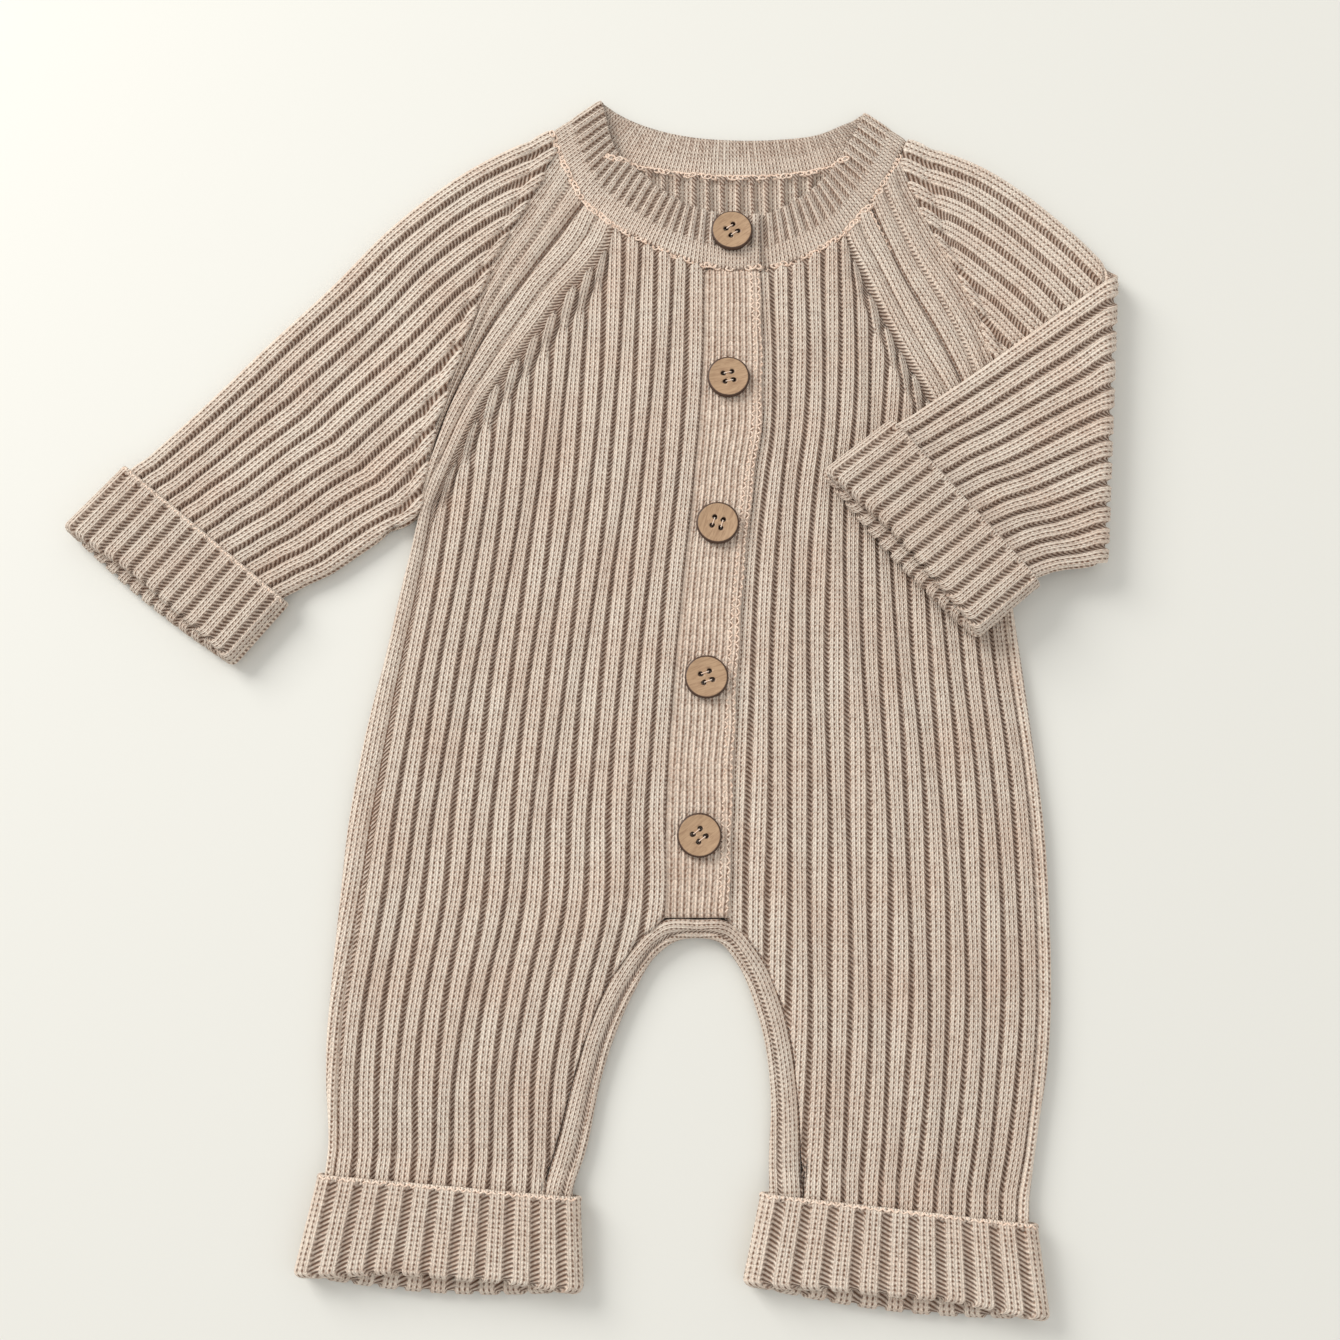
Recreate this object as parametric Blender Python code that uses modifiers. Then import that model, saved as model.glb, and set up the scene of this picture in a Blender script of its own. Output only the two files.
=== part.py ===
"""Rib-knit baby romper, lying flat on its back: long raglan sleeves, button front, turned-up cuffs.

Frame: +Z up, the garment rests on z = 0 with its front up and its neck towards +Y.
The wearer's left is +X. The wearer's left sleeve is folded at the elbow, back over the chest.
Tables are in millimetres on the plan of the garment; a row is a section, a station or a seam point.
"""
import math

import bmesh
import bpy
import numpy as np

MM = 0.001
PLAN_SHIFT = (29.77, -3.42)     # moves the plan so that the garment's box is centred on the origin

WALL = 2.2                     # thickness of the knit
NECK_GAP = 0.6                 # clear gap between the neckband and the pieces it is linked to
NECK_FOLD_GAP = 1.4            # the more there is where the band folds at the shoulders
SEAM = 0.34                    # clear gap between pieces that are sewn edge to edge
AIR = 1.0                      # space left inside the flattened garment
TOP = 2 * WALL + AIR           # height of the front where it lies on the back
MID = TOP / 2                  # height of the rounded outline
CUFF_GAP = 0.4                 # between a sleeve or leg and its turn-up
LAYER = WALL + CUFF_GAP        # height that a turn-up adds on each side
OVERLAP_TOP = 7.7              # height of the buttonhole band
UNDER_TOP = 5.1                # height of the button band, under the buttonhole band
UNDER_STEP = 2.0               # how far the button band's edge lies behind the buttonhole band's
CROWN_REACH = (-75.0, -13.0)   # offsets from the button line over which the right front rises
HEM_RAMP = 9.0                 # length over which a leg or sleeve climbs on to its turn-up
HEM_LEAD = 1.5                 # how far before the turn-up a leg has reached its full height
CROTCH_FADE = (-128.0, -104.0) # between these heights the bands' extra thickness dies away
SWELL, SWELL_RISE, SWELL_FALL = 0.8, (13.0, 25.0), (40.0, 80.0)
TUCK_REACH = (12.0, 22.0)      # where the left front climbs out from under the buttonhole band
CENTRE_X = 26.0                # the line about which the sleeves mirror each other
ELBOW_RADIUS = 4.25            # radius of the left sleeve's fold, at the middle of the tube
ELBOW_AXIS = ((189.0, 182.0), (177.0, 50.0))

BUTTON_RADIUS = 9.0
BUTTON_HEIGHT = 2.6
BUTTON_EDGE = 0.7
BUTTON_HOLE_RADIUS = 0.85
BUTTON_HOLE_OFFSET = 1.75
BUTTON_SIDES = 28

# The rounded edge of a flattened piece. in: distance from the outline; rise: share of half the height.
ROLL = [
    # in, rise
    (0.0, 0.0),
    (0.0, 0.36),
    (0.9, 0.74),
    (2.6, 0.95),
    (5.2, 1.0),
]

# Sections of the right front (and the back's right half), hem to top: side outline to inner seam.
RIGHT_ROWS = [
    # side_x, side_y, inner_x, inner_y
    (-139.2, -232.0, -51.5, -236.5),
    (-135.9, -217.0, -50.5, -221.5),
    (-132.8, -200.0, -48.5, -205.0),
    (-132.6, -189.0, -45.5, -194.0),
    (-134.6, -165.0, -38.0, -165.0),
    (-135.0, -148.0, -33.0, -146.5),
    (-134.4, -134.0, -25.5, -129.5),
    (-133.6, -118.0, -14.0, -113.0),
    (-132.4, -99.0, -2.3, -103.5),
    (-129.5, -60.0, -1.6, -58.0),
    (-124.0, -25.0, 1.2, -10.0),
    (-117.5, 5.0, 5.0, 34.0),
    (-112.0, 34.0, 10.0, 80.0),
    (-108.0, 54.0, 13.8, 130.0),
    (-106.5, 64.0, 15.0, 178.5),
]
LEFT_ROWS = [
    # side_x, side_y, inner_x, inner_y
    (140.5, -247.5, 51.5, -237.5),
    (138.6, -234.0, 51.0, -224.0),
    (137.6, -217.0, 51.0, -208.0),
    (139.6, -204.0, 51.0, -197.0),
    (144.0, -180.0, 50.5, -171.0),
    (148.0, -160.0, 48.7, -155.0),
    (150.2, -141.0, 44.5, -136.0),
    (151.4, -120.0, 35.5, -116.0),
    (151.7, -101.0, 23.0, -103.5),
    (151.0, -62.0, 21.0, -58.0),
    (148.6, -36.0, 22.8, -10.0),
    (146.2, -10.0, 26.0, 34.0),
    (143.8, 14.0, 31.0, 80.0),
    (141.0, 42.0, 35.5, 130.0),
    (139.0, 66.0, 36.0, 177.0),
]
# The back's middle line, for the same sections from the crotch up.
BACK_MIDDLE = [
    # x, y
    (11.0, -103.2),
    (11.5, -58.0),
    (13.5, -10.0),
    (17.0, 34.0),
    (21.5, 80.0),
    (25.0, 130.0),
    (27.0, 222.8),
]
# Front raglan seams from the underarm to the neck. rise: share of half the height.
RAGLAN_RIGHT = [
    # x, y, rise
    (-106.5, 64.0, 0.0),
    (-106.5, 64.05, 0.36),
    (-105.4, 76.0, 0.74),
    (-103.0, 88.0, 0.95),
    (-98.5, 105.0, 1.0),
    (-90.0, 127.0, 1.0),
    (-78.0, 151.0, 1.0),
    (-60.0, 178.0, 1.0),
    (-38.0, 209.5, 1.0),
]
RAGLAN_LEFT = [
    # x, y, rise
    (139.0, 66.0, 0.0),
    (139.0, 66.05, 0.36),
    (137.4, 78.0, 0.74),
    (135.5, 89.0, 0.95),
    (132.0, 105.0, 1.0),
    (125.0, 127.0, 1.0),
    (115.0, 150.0, 1.0),
    (103.0, 173.0, 1.0),
    (88.5, 208.5, 1.0),
]
# Back raglan seams, on the underside, for the same points.
BACK_RAGLAN_RIGHT = [
    # x, y, rise
    (-106.5, 64.0, 0.0),
    (-106.5, 64.05, 0.36),
    (-104.5, 76.0, 0.74),
    (-101.0, 88.0, 0.95),
    (-95.0, 105.0, 1.0),
    (-84.0, 130.0, 1.0),
    (-69.0, 158.0, 1.0),
    (-47.0, 190.0, 1.0),
    (-17.0, 228.5, 1.0),
]
BACK_RAGLAN_LEFT = [
    # x, y, rise
    (139.0, 66.0, 0.0),
    (139.0, 66.05, 0.36),
    (136.8, 78.0, 0.74),
    (133.8, 89.0, 0.95),
    (129.0, 105.0, 1.0),
    (121.0, 130.0, 1.0),
    (109.0, 158.0, 1.0),
    (92.0, 190.0, 1.0),
    (70.0, 227.0, 1.0),
]
# Share of a section's width at which each raglan point's column starts, side to neck.
RAGLAN_COLUMNS = (0.0, 0.0, 0.008, 0.024, 0.048, 0.16, 0.3, 0.44, 0.58)

# Neckband, from the buttonhole end round the back to the button end.
# rise: 1 in front, 0 at a shoulder fold, -1 at the back. over: 1 in the arm that laps on top.
NECKBAND = [
    # seam_x, seam_y, edge_x, edge_y, rise, over
    (39.0, 177.0, 40.0, 203.0, 1.0, 1),
    (27.0, 176.4, 28.0, 203.0, 1.0, 1),
    (15.0, 178.5, 17.0, 204.5, 1.0, 1),
    (-12.0, 190.5, -1.0, 213.0, 1.0, 1),
    (-27.0, 199.5, -13.0, 223.5, 1.0, 1),
    (-38.0, 209.5, -21.5, 231.5, 1.0, 1),
    (-45.0, 222.5, -26.0, 240.0, 1.0, 1),
    (-49.8, 234.5, -28.5, 251.0, 0.97, 1),
    (-52.6, 242.0, -30.5, 258.5, 0.88, 1),
    (-53.4, 244.6, -31.2, 260.8, 0.0, 1),
    (-52.0, 243.6, -30.0, 259.6, -0.88, 0),
    (-47.0, 240.0, -26.5, 256.6, -0.97, 0),
    (-36.0, 233.8, -20.0, 252.4, -1.0, 0),
    (-17.0, 228.5, -8.0, 247.2, -1.0, 0),
    (5.0, 224.4, 9.0, 243.0, -1.0, 0),
    (27.0, 222.8, 27.0, 241.4, -1.0, 0),
    (50.0, 223.4, 47.0, 241.6, -1.0, 0),
    (70.0, 227.0, 65.0, 243.8, -1.0, 0),
    (91.0, 234.0, 77.5, 249.0, -1.0, 0),
    (100.5, 237.4, 83.0, 251.6, -0.97, 0),
    (105.0, 239.6, 86.0, 254.0, -0.88, 0),
    (106.2, 240.4, 86.8, 254.6, 0.0, 0),
    (105.0, 237.8, 86.0, 252.2, 0.88, 0),
    (101.8, 231.0, 83.5, 246.0, 0.97, 0),
    (96.5, 221.5, 78.5, 237.0, 1.0, 0),
    (88.5, 208.5, 72.5, 226.5, 1.0, 0),
    (76.0, 194.0, 64.0, 217.0, 1.0, 0),
    (59.0, 183.0, 53.0, 209.0, 1.0, 0),
    (47.0, 179.0, 45.0, 205.0, 1.0, 0),
    (36.0, 177.0, 36.5, 203.4, 1.0, 0),
    (18.0, 177.6, 19.0, 204.0, 1.0, 0),
]
# Rows of NECKBAND at which the seams of the other pieces meet it.
NECK_RIGHT_RAGLAN, NECK_RIGHT_FOLD, NECK_RIGHT_BACK = 5, 9, 13
NECK_BACK_MIDDLE = 15
NECK_LEFT_BACK, NECK_LEFT_FOLD, NECK_LEFT_RAGLAN = 17, 21, 25
NECK_BAND_WIDTH_COLUMNS = (0.0, 0.35, 0.7, 1.0)

# Buttonhole band, neck to crotch.
PLACKET = [
    # y, right_x, left_x
    (176.4, 15.4, 39.0),
    (130.0, 14.2, 39.8),
    (105.0, 12.4, 38.8),
    (80.0, 10.4, 35.4),
    (34.0, 5.4, 30.4),
    (-10.0, 1.6, 27.4),
    (-58.0, -1.2, 25.2),
    (-103.0, -1.9, 23.4),
]

# Inner outline of the legs, for the sections of RIGHT_ROWS and LEFT_ROWS from the hem to the crotch.
RIGHT_INSIDE = [
    # x, y
    (-36.8, -237.5),
    (-38.0, -222.0),
    (-38.0, -205.5),
    (-34.0, -194.0),
    (-27.8, -165.0),
    (-22.5, -148.5),
    (-15.0, -131.5),
    (-5.5, -116.5),
    (2.5, -111.0),
]
LEFT_INSIDE = [
    # x, y
    (34.0, -236.0),
    (37.6, -222.5),
    (39.0, -207.5),
    (39.2, -197.0),
    (40.2, -171.0),
    (38.6, -153.5),
    (34.8, -138.0),
    (27.0, -119.5),
    (20.0, -111.5),
]
CROTCH = (11.5, -103.2)
CROTCH_INSIDE = (11.5, -109.8)
GUSSET_COLUMNS = (10.5, 5.2, 2.6, 0.9, 0.0)
BAND_HALF = 12.0               # half the width of the buttonhole band

# Right sleeve, cuff to body: upper outline and lower outline. The left sleeve mirrors it.
SLEEVE_ROWS = [
    # upper_x, upper_y, lower_x, lower_y
    (-248.5, 63.2, -178.5, 8.7),
    (-239.5, 73.0, -172.0, 17.0),
    (-228.0, 85.5, -162.5, 29.5),
    (-221.5, 92.0, -155.0, 35.0),
    (-197.0, 117.0, -143.0, 41.0),
    (-173.0, 143.0, -131.0, 49.5),
    (-148.0, 169.0, -121.0, 56.5),
    (-122.0, 198.0, -113.0, 61.0),
    (-88.0, 226.0, -109.0, 63.0),
    (-53.4, 244.6, -106.5, 64.0),
]
SLEEVE_CUFF_ROW = 2            # row of SLEEVE_ROWS at the cuff's upper edge
FOLD_ROWS = 5                  # sections round the elbow fold
FOLD_CLEAR = 6.0               # no other section comes nearer to the fold than this
SLEEVE_WIDTH = 95.0
SLEEVE_ROLL = [
    # in, rise
    (0.0, 0.0),
    (1.0, 0.6),
    (2.2, 0.9),
    (5.0, 1.0),
]
# Shares of a sleeve's width at its columns: from the upper fold to the raglan, and from the lower fold.
SLEEVE_NECK_SHARES = (0.0, 0.012, 0.05, 0.3)
SLEEVE_SEAM_SHARES = (0.0, 0.01, 0.022, 0.05, 0.12, 0.27, 0.42, 0.56, 0.7)

# Turn-ups: the corners of each outline. a is the outer or upper end, b the other; 0 at the edge, 1 at the fold.
TURNUPS = {
    # name: a0_x, a0_y, b0_x, b0_y, a1_x, a1_y, b1_x, b1_y, bulge
    "turnup_leg_right": (-135.8, -200.5, -34.8, -209.0, -144.0, -238.0, -33.0, -244.0, 3.5),
    "turnup_leg_left": (141.0, -219.0, 35.4, -207.5, 144.5, -254.0, 27.5, -241.5, 3.5),
    "turnup_sleeve_right": (-231.0, 87.0, -159.5, 27.5, -255.0, 60.0, -181.0, 1.0, 2.5),
}
TURNUP_ROLL = [
    # in, rise
    (0.0, 0.0),
    (0.5, 0.36),
    (1.8, 0.68),
    (4.6, 0.95),
    (8.5, 1.0),
]
TURNUP_SPAN_COLUMNS = 5        # flat columns between the two rounded ends
TURNUP_FRONT_SHORT = 3.0       # how far the fold in front stops short of the fold behind

BUTTONS = [
    # x, y
    (27.0, 194.0),
    (25.0, 126.0),
    (20.0, 61.0),
    (15.0, -5.0),
    (11.8, -70.0),
]

BEIGE = (0.58, 0.46, 0.36, 1.0)
WOOD = (0.40, 0.24, 0.12, 1.0)


def columns(table, *indices):
    """The named columns of a table, as an array."""
    return np.array([[row[i] for i in indices] for row in table], dtype=float)


def smooth_step(value):
    value = np.clip(value, 0.0, 1.0)
    return value * value * (3.0 - 2.0 * value)


def smooth_between(value, ends):
    """0 before the first end, 1 past the second, smooth between."""
    return smooth_step((value - ends[0]) / (ends[1] - ends[0]))


def button_line(y):
    """The x of the middle of the buttonhole band at height y."""
    rows = columns(PLACKET, 0, 1, 2)[::-1]
    return np.interp(y, rows[:, 0], rows[:, 1:].mean(axis=1))


def crown_right(x, y):
    """Height of the right front's face: it climbs towards the buttonhole band."""
    rise = smooth_between(x - button_line(y), CROWN_REACH) * smooth_between(y, CROTCH_FADE)
    return TOP + (OVERLAP_TOP - TOP) * rise


def crown_left(x, y):
    """Height of the left front's face: it comes out from under the buttonhole band."""
    offset = x - button_line(y)
    swell = SWELL * smooth_between(offset, SWELL_RISE) * (1.0 - smooth_between(offset, SWELL_FALL))
    tuck = (TOP - UNDER_TOP) * (1.0 - smooth_between(offset, TUCK_REACH))
    return TOP + (swell - tuck) * smooth_between(y, CROTCH_FADE)


def leg_lift(x, y):
    """How far a leg is raised inside its turn-up."""
    edges = []
    for name in ("turnup_leg_right", "turnup_leg_left"):
        (a_x, a_y, b_x, b_y) = TURNUPS[name][:4]
        edges.append(a_y + (b_y - a_y) * (x - a_x) / (b_x - a_x))
    edge = np.where(x < CROTCH[0], edges[0], edges[1]) + HEM_LEAD
    return LAYER * smooth_step((edge + HEM_RAMP - y) / HEM_RAMP)


def sheet_plan(side, inner, top, shares):
    """Plan points of a panel: rows from side to inner, the last rows bending on to the top seam."""
    rows = len(side)
    shares = np.asarray(shares)[None, :, None]
    chords = side[:, None, :] * (1.0 - shares) + inner[:, None, :] * shares
    bend = (np.linspace(0.0, 1.0, rows) ** 3)[:, None, None]
    return chords + bend * (top - chords[-1])[None]


def move_inside(points, amount, closed=False):
    """The line moved to its left by amount, on the plan."""
    points = np.asarray(points, dtype=float)
    step = np.gradient(points, axis=0)
    if closed:
        step = np.roll(points, -1, axis=0) - np.roll(points, 1, axis=0)
    step /= np.linalg.norm(step, axis=1, keepdims=True)
    return points + amount * np.column_stack((-step[:, 1], step[:, 0]))


def to_space(plan, height):
    """Points in metres, in the garment's frame, from plan points and heights in millimetres."""
    points = np.concatenate((plan + np.array(PLAN_SHIFT), height[..., None]), axis=-1)
    return points * MM


def grid_faces(rows, cols, closed):
    faces = []
    for j in range(rows - 1):
        for i in range(cols if closed else cols - 1):
            k = (i + 1) % cols
            faces.append((j * cols + i, j * cols + k, (j + 1) * cols + k, (j + 1) * cols + i))
    return faces


def new_material(name, color, roughness):
    material = bpy.data.materials.new(name)
    material.use_nodes = True
    shader = material.node_tree.nodes["Principled BSDF"]
    shader.inputs["Base Color"].default_value = color
    shader.inputs["Roughness"].default_value = roughness
    shader.inputs["Metallic"].default_value = 0.0
    material.diffuse_color = color
    return material


def add_object(name, mesh, collection, color, roughness):
    piece = bpy.data.objects.new(name, mesh)
    mesh.materials.append(new_material(name, color, roughness))
    collection.objects.link(piece)
    return piece


def knit_wall(name, collection, grids, closed=False, outside_left=True):
    """A knit piece: the open outer surface of one or more point grids, given its thickness inwards."""
    vertices = []
    faces = []
    for grid in grids:
        rows, cols = grid.shape[:2]
        start = len(vertices)
        vertices += [tuple(point) for point in grid.reshape(-1, 3)]
        for face in grid_faces(rows, cols, closed):
            corners = tuple(start + corner for corner in face)
            faces.append(corners if outside_left else corners[::-1])
    mesh = bpy.data.meshes.new(name)
    mesh.from_pydata(vertices, [], faces)
    surface = bmesh.new()
    surface.from_mesh(mesh)
    bmesh.ops.remove_doubles(surface, verts=surface.verts, dist=0.00002)
    surface.to_mesh(mesh)
    surface.free()
    mesh.shade_smooth()
    piece = add_object(name, mesh, collection, BEIGE, 0.9)
    wall = piece.modifiers.new("wall", "SOLIDIFY")
    wall.thickness = WALL * MM
    wall.offset = -1.0
    return piece


def front_panel(name, collection, rows, raglan, neck, crown, mirrored):
    """A front with its leg: from the rounded side outline to the button band and the gusset."""
    table = columns(rows, 0, 1, 2, 3)
    side = table[:, :2]
    inner = table[:, 2:]
    inward = SEAM / 2 * (1.0 if mirrored else -1.0)
    inner = inner + np.array((inward, 0.0))
    top = np.vstack((columns(raglan, 0, 1), neck[1:]))
    top = move_inside(top, SEAM / 2 * (1.0 if mirrored else -1.0))
    neck_shares = np.linspace(RAGLAN_COLUMNS[-1], 1.0, len(neck))
    shares = RAGLAN_COLUMNS + tuple(neck_shares[1:])
    rises = np.concatenate((columns(ROLL, 1)[:, 0], np.ones(len(shares) - len(ROLL))))
    plan = sheet_plan(side, inner, top, shares)
    plan[-1, -1] += np.array((0.0, -SEAM / 2))
    x, y = plan[..., 0], plan[..., 1]
    middle = MID + SEAM / 2
    height = middle + (crown(x, y) - middle) * rises[None, :] + leg_lift(x, y)
    return knit_wall(name, collection, [to_space(plan, height)], outside_left=not mirrored)


def back_panel(collection):
    """The back with the backs of both legs, flat underneath, its outline rounded up to the side seams."""
    grids = []
    corners = []
    middle_line = columns(BACK_MIDDLE, 0, 1)
    halves = (
        (RIGHT_ROWS, BACK_RAGLAN_RIGHT, NECKBAND[NECK_RIGHT_BACK:NECK_BACK_MIDDLE + 1], 1.0),
        (LEFT_ROWS, BACK_RAGLAN_LEFT, NECKBAND[NECK_BACK_MIDDLE:NECK_LEFT_BACK + 1][::-1], -1.0),
    )
    for rows, raglan, band, sign in halves:
        table = columns(rows, 0, 1, 2, 3)
        legs = len(rows) - len(middle_line)
        inner = table[:, 2:] - np.array((sign * SEAM / 2, 0.0))
        corner = inner[legs].copy()
        inner[legs + 1:] = middle_line[1:]
        neck = columns(band, 0, 1)
        top = np.vstack((columns(raglan, 0, 1), neck[1:]))
        top = move_inside(top, -sign * SEAM / 2)
        top[-1] = middle_line[-1] - np.array((0.0, SEAM / 2))
        inner[-1] = top[-1]
        corner += np.array((0.0, SEAM / 2))
        inner[legs] = corner
        corners.append(corner)
        neck_shares = np.linspace(RAGLAN_COLUMNS[-1], 1.0, len(neck))
        shares = RAGLAN_COLUMNS + tuple(neck_shares[1:])
        rises = np.concatenate((columns(ROLL, 1)[:, 0], np.ones(len(shares) - len(ROLL))))
        plan = sheet_plan(table[:, :2], inner, top, shares)
        middle = MID - SEAM / 2
        height = middle * (1.0 - rises[None, :]) + leg_lift(plan[..., 0], plan[..., 1])
        grid = to_space(plan, height)
        grids.append(grid if sign > 0 else grid[:, ::-1])
    foot = np.array((corners[0], middle_line[0] + np.array((0.0, SEAM / 2)), corners[1]))
    crotch = np.array((foot, np.repeat(middle_line[1:2], len(foot), axis=0)))
    grids.append(to_space(crotch, np.zeros(crotch.shape[:2])))
    return knit_wall("back", collection, grids, outside_left=False)


def gusset(collection):
    """The band along the inner legs and over the crotch: a channel that is open towards the legs."""
    legs = len(RIGHT_INSIDE)
    right = columns(RIGHT_ROWS, 2, 3)[:legs]
    left = columns(LEFT_ROWS, 2, 3)[:legs]
    seam = np.vstack((right, [CROTCH], left[::-1]))
    inside = np.vstack((columns(RIGHT_INSIDE, 0, 1), [CROTCH_INSIDE], columns(LEFT_INSIDE, 0, 1)[::-1]))
    seam = move_inside(seam, -SEAM / 2)
    rises = np.interp(GUSSET_COLUMNS, columns(ROLL, 0)[1:, 0], columns(ROLL, 1)[1:, 0])
    rises[-1] = 0.0
    shares = 1.0 - np.array(GUSSET_COLUMNS) / GUSSET_COLUMNS[0]
    plan = seam[:, None] * (1.0 - shares[None, :, None]) + inside[:, None] * shares[None, :, None]
    x, y = plan[..., 0], plan[..., 1]
    crown = np.where(x < CROTCH[0] + BAND_HALF, crown_right(x, y), crown_left(x, y))
    lift = leg_lift(x, y)
    above = MID + (crown - MID) * rises[None, :] + lift
    below = MID * (1.0 - rises[None, :]) + lift
    plan = np.concatenate((plan, plan[:, ::-1][:, 1:]), axis=1)
    height = np.concatenate((above, below[:, ::-1][:, 1:]), axis=1)
    return knit_wall("gusset", collection, [to_space(plan, height)], outside_left=True)


def fold_elbow(points):
    """Bend points of the flat left sleeve over its elbow fold, back on to the chest."""
    start, end = (np.array(point) for point in ELBOW_AXIS)
    along = (end - start) / np.linalg.norm(end - start)
    normal = np.array((-along[1], along[0]))
    past = (points[..., :2] - start) @ normal
    depth = MID - points[..., 2]
    foot = points[..., :2] - past[..., None] * normal
    angle = np.clip(past / ELBOW_RADIUS, 0.0, math.pi)
    back = np.maximum(past - math.pi * ELBOW_RADIUS, 0.0)
    radius = ELBOW_RADIUS + depth
    reach = np.where(past < 0.0, past, radius * np.sin(angle) - back)
    height = np.where(past < 0.0, points[..., 2], MID + ELBOW_RADIUS - radius * np.cos(angle))
    return np.concatenate((foot + reach[..., None] * normal, height[..., None]), axis=-1)


def elbow_distance(points):
    start, end = (np.array(point) for point in ELBOW_AXIS)
    along = (end - start) / np.linalg.norm(end - start)
    return (points - start) @ np.array((-along[1], along[0]))


def sleeve_edges(mirrored):
    """The upper and lower outlines of a sleeve laid out flat, with rows at the elbow fold if it has one."""
    table = columns(SLEEVE_ROWS, 0, 1, 2, 3)
    if not mirrored:
        return table[:, :2], table[:, 2:]
    table[:, (0, 2)] = 2 * CENTRE_X - table[:, (0, 2)]
    cuff = SLEEVE_CUFF_ROW + 1
    underarm = RAGLAN_LEFT[0][0]
    stretch = (table[cuff, 2] - underarm) / (table[cuff, 2] - table[-1, 2])
    table[cuff:, 2] = table[cuff, 2] + (table[cuff:, 2] - table[cuff, 2]) * stretch
    table[-1] = (*NECKBAND[NECK_LEFT_FOLD][:2], *RAGLAN_LEFT[0][:2])
    upper, lower = [], []
    bends = np.linspace(math.pi, 0.0, FOLD_ROWS) * ELBOW_RADIUS
    for edge, rows in ((table[:, :2], upper), (table[:, 2:], lower)):
        past = elbow_distance(edge)
        before = past > bends[0] + FOLD_CLEAR
        after = past < -FOLD_CLEAR
        folds = np.column_stack([np.interp(-bends, -past, edge[:, axis]) for axis in (0, 1)])
        rows += [edge[before], folds, edge[after]]
    counts = [min(len(upper[k]), len(lower[k])) for k in (0, 2)]
    upper = np.vstack((upper[0][:counts[0]], upper[1], upper[2][-counts[1]:]))
    lower = np.vstack((lower[0][:counts[0]], lower[1], lower[2][-counts[1]:]))
    return upper, lower


def sleeve_lift(plan, mirrored):
    """How far a sleeve is raised inside its turn-up, above HEM_RAMP of climb."""
    x = 2 * CENTRE_X - plan[..., 0] if mirrored else plan[..., 0]
    row = np.array(SLEEVE_ROWS[SLEEVE_CUFF_ROW])
    across = (row[2:] - row[:2]) / np.linalg.norm(row[2:] - row[:2])
    outward = np.array((across[1], -across[0]))
    past = (x - row[0]) * outward[0] + (plan[..., 1] - row[1]) * outward[1]
    lift = LAYER * smooth_step((past + HEM_RAMP) / HEM_RAMP)
    return -lift if mirrored else lift


def sleeve(name, collection, mirrored):
    """A sleeve: one flattened tube from the raglan seams and the neckband to the cuff's fold."""
    raglan = RAGLAN_LEFT if mirrored else RAGLAN_RIGHT
    back_raglan = BACK_RAGLAN_LEFT if mirrored else BACK_RAGLAN_RIGHT
    if mirrored:
        neck = columns(NECKBAND[NECK_LEFT_FOLD:NECK_LEFT_RAGLAN + 1], 0, 1, 4)
        back_neck = columns(NECKBAND[NECK_LEFT_BACK:NECK_LEFT_FOLD + 1], 0, 1, 4)[::-1]
    else:
        neck = columns(NECKBAND[NECK_RIGHT_RAGLAN:NECK_RIGHT_FOLD + 1], 0, 1, 4)[::-1]
        back_neck = columns(NECKBAND[NECK_RIGHT_FOLD:NECK_RIGHT_BACK + 1], 0, 1, 4)
    upper, lower = sleeve_edges(mirrored)
    outward = 1.0 if mirrored else -1.0
    layers = []
    for neck_part, seam, front in ((neck, raglan, True), (back_neck, back_raglan, False)):
        end = np.vstack((neck_part, columns(seam, 0, 1, 2)[::-1][1:]))
        rises = np.abs(end[:, 2])
        plan_end = move_inside(end[:, :2], outward * SEAM / 2)
        plan_end[0] = end[0, :2] + np.array((outward * NECK_GAP, -SEAM))
        plan_end[-1] = end[-1, :2] + np.array((outward * SEAM, -SEAM / 2))
        spots = (0, 1, 2, len(neck_part) - 1)
        neck_shares = np.interp(np.arange(len(neck_part)), spots, SLEEVE_NECK_SHARES)
        shares = np.concatenate((neck_shares, 1.0 - np.array(SLEEVE_SEAM_SHARES)[::-1][1:]))
        edge = np.minimum(shares, 1.0 - shares) * SLEEVE_WIDTH
        roll = columns(SLEEVE_ROLL, 0, 1)
        far_rises = np.interp(edge, roll[:, 0], roll[:, 1])
        plan = sheet_plan(upper, lower, plan_end, shares)
        blend = (np.linspace(0.0, 1.0, len(plan)) ** 3)[:, None]
        rise = far_rises[None, :] * (1.0 - blend) + rises[None, :] * blend
        lift = sleeve_lift(plan, mirrored)
        if front:
            crown = crown_left if mirrored else crown_right
            shoulder = crown(plan[..., 0], plan[..., 1])
            height = MID + (shoulder - MID) * rise + lift
        else:
            height = MID * (1.0 - rise) + lift
        layers.append(np.concatenate((plan, height[..., None]), axis=-1))
    ring = np.concatenate((layers[0], layers[1][:, ::-1][:, 1:-1]), axis=1)
    if mirrored:
        ring = fold_elbow(ring)
    points = to_space(ring[..., :2], ring[..., 2])
    return knit_wall(name, collection, [points], closed=True, outside_left=not mirrored)


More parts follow.
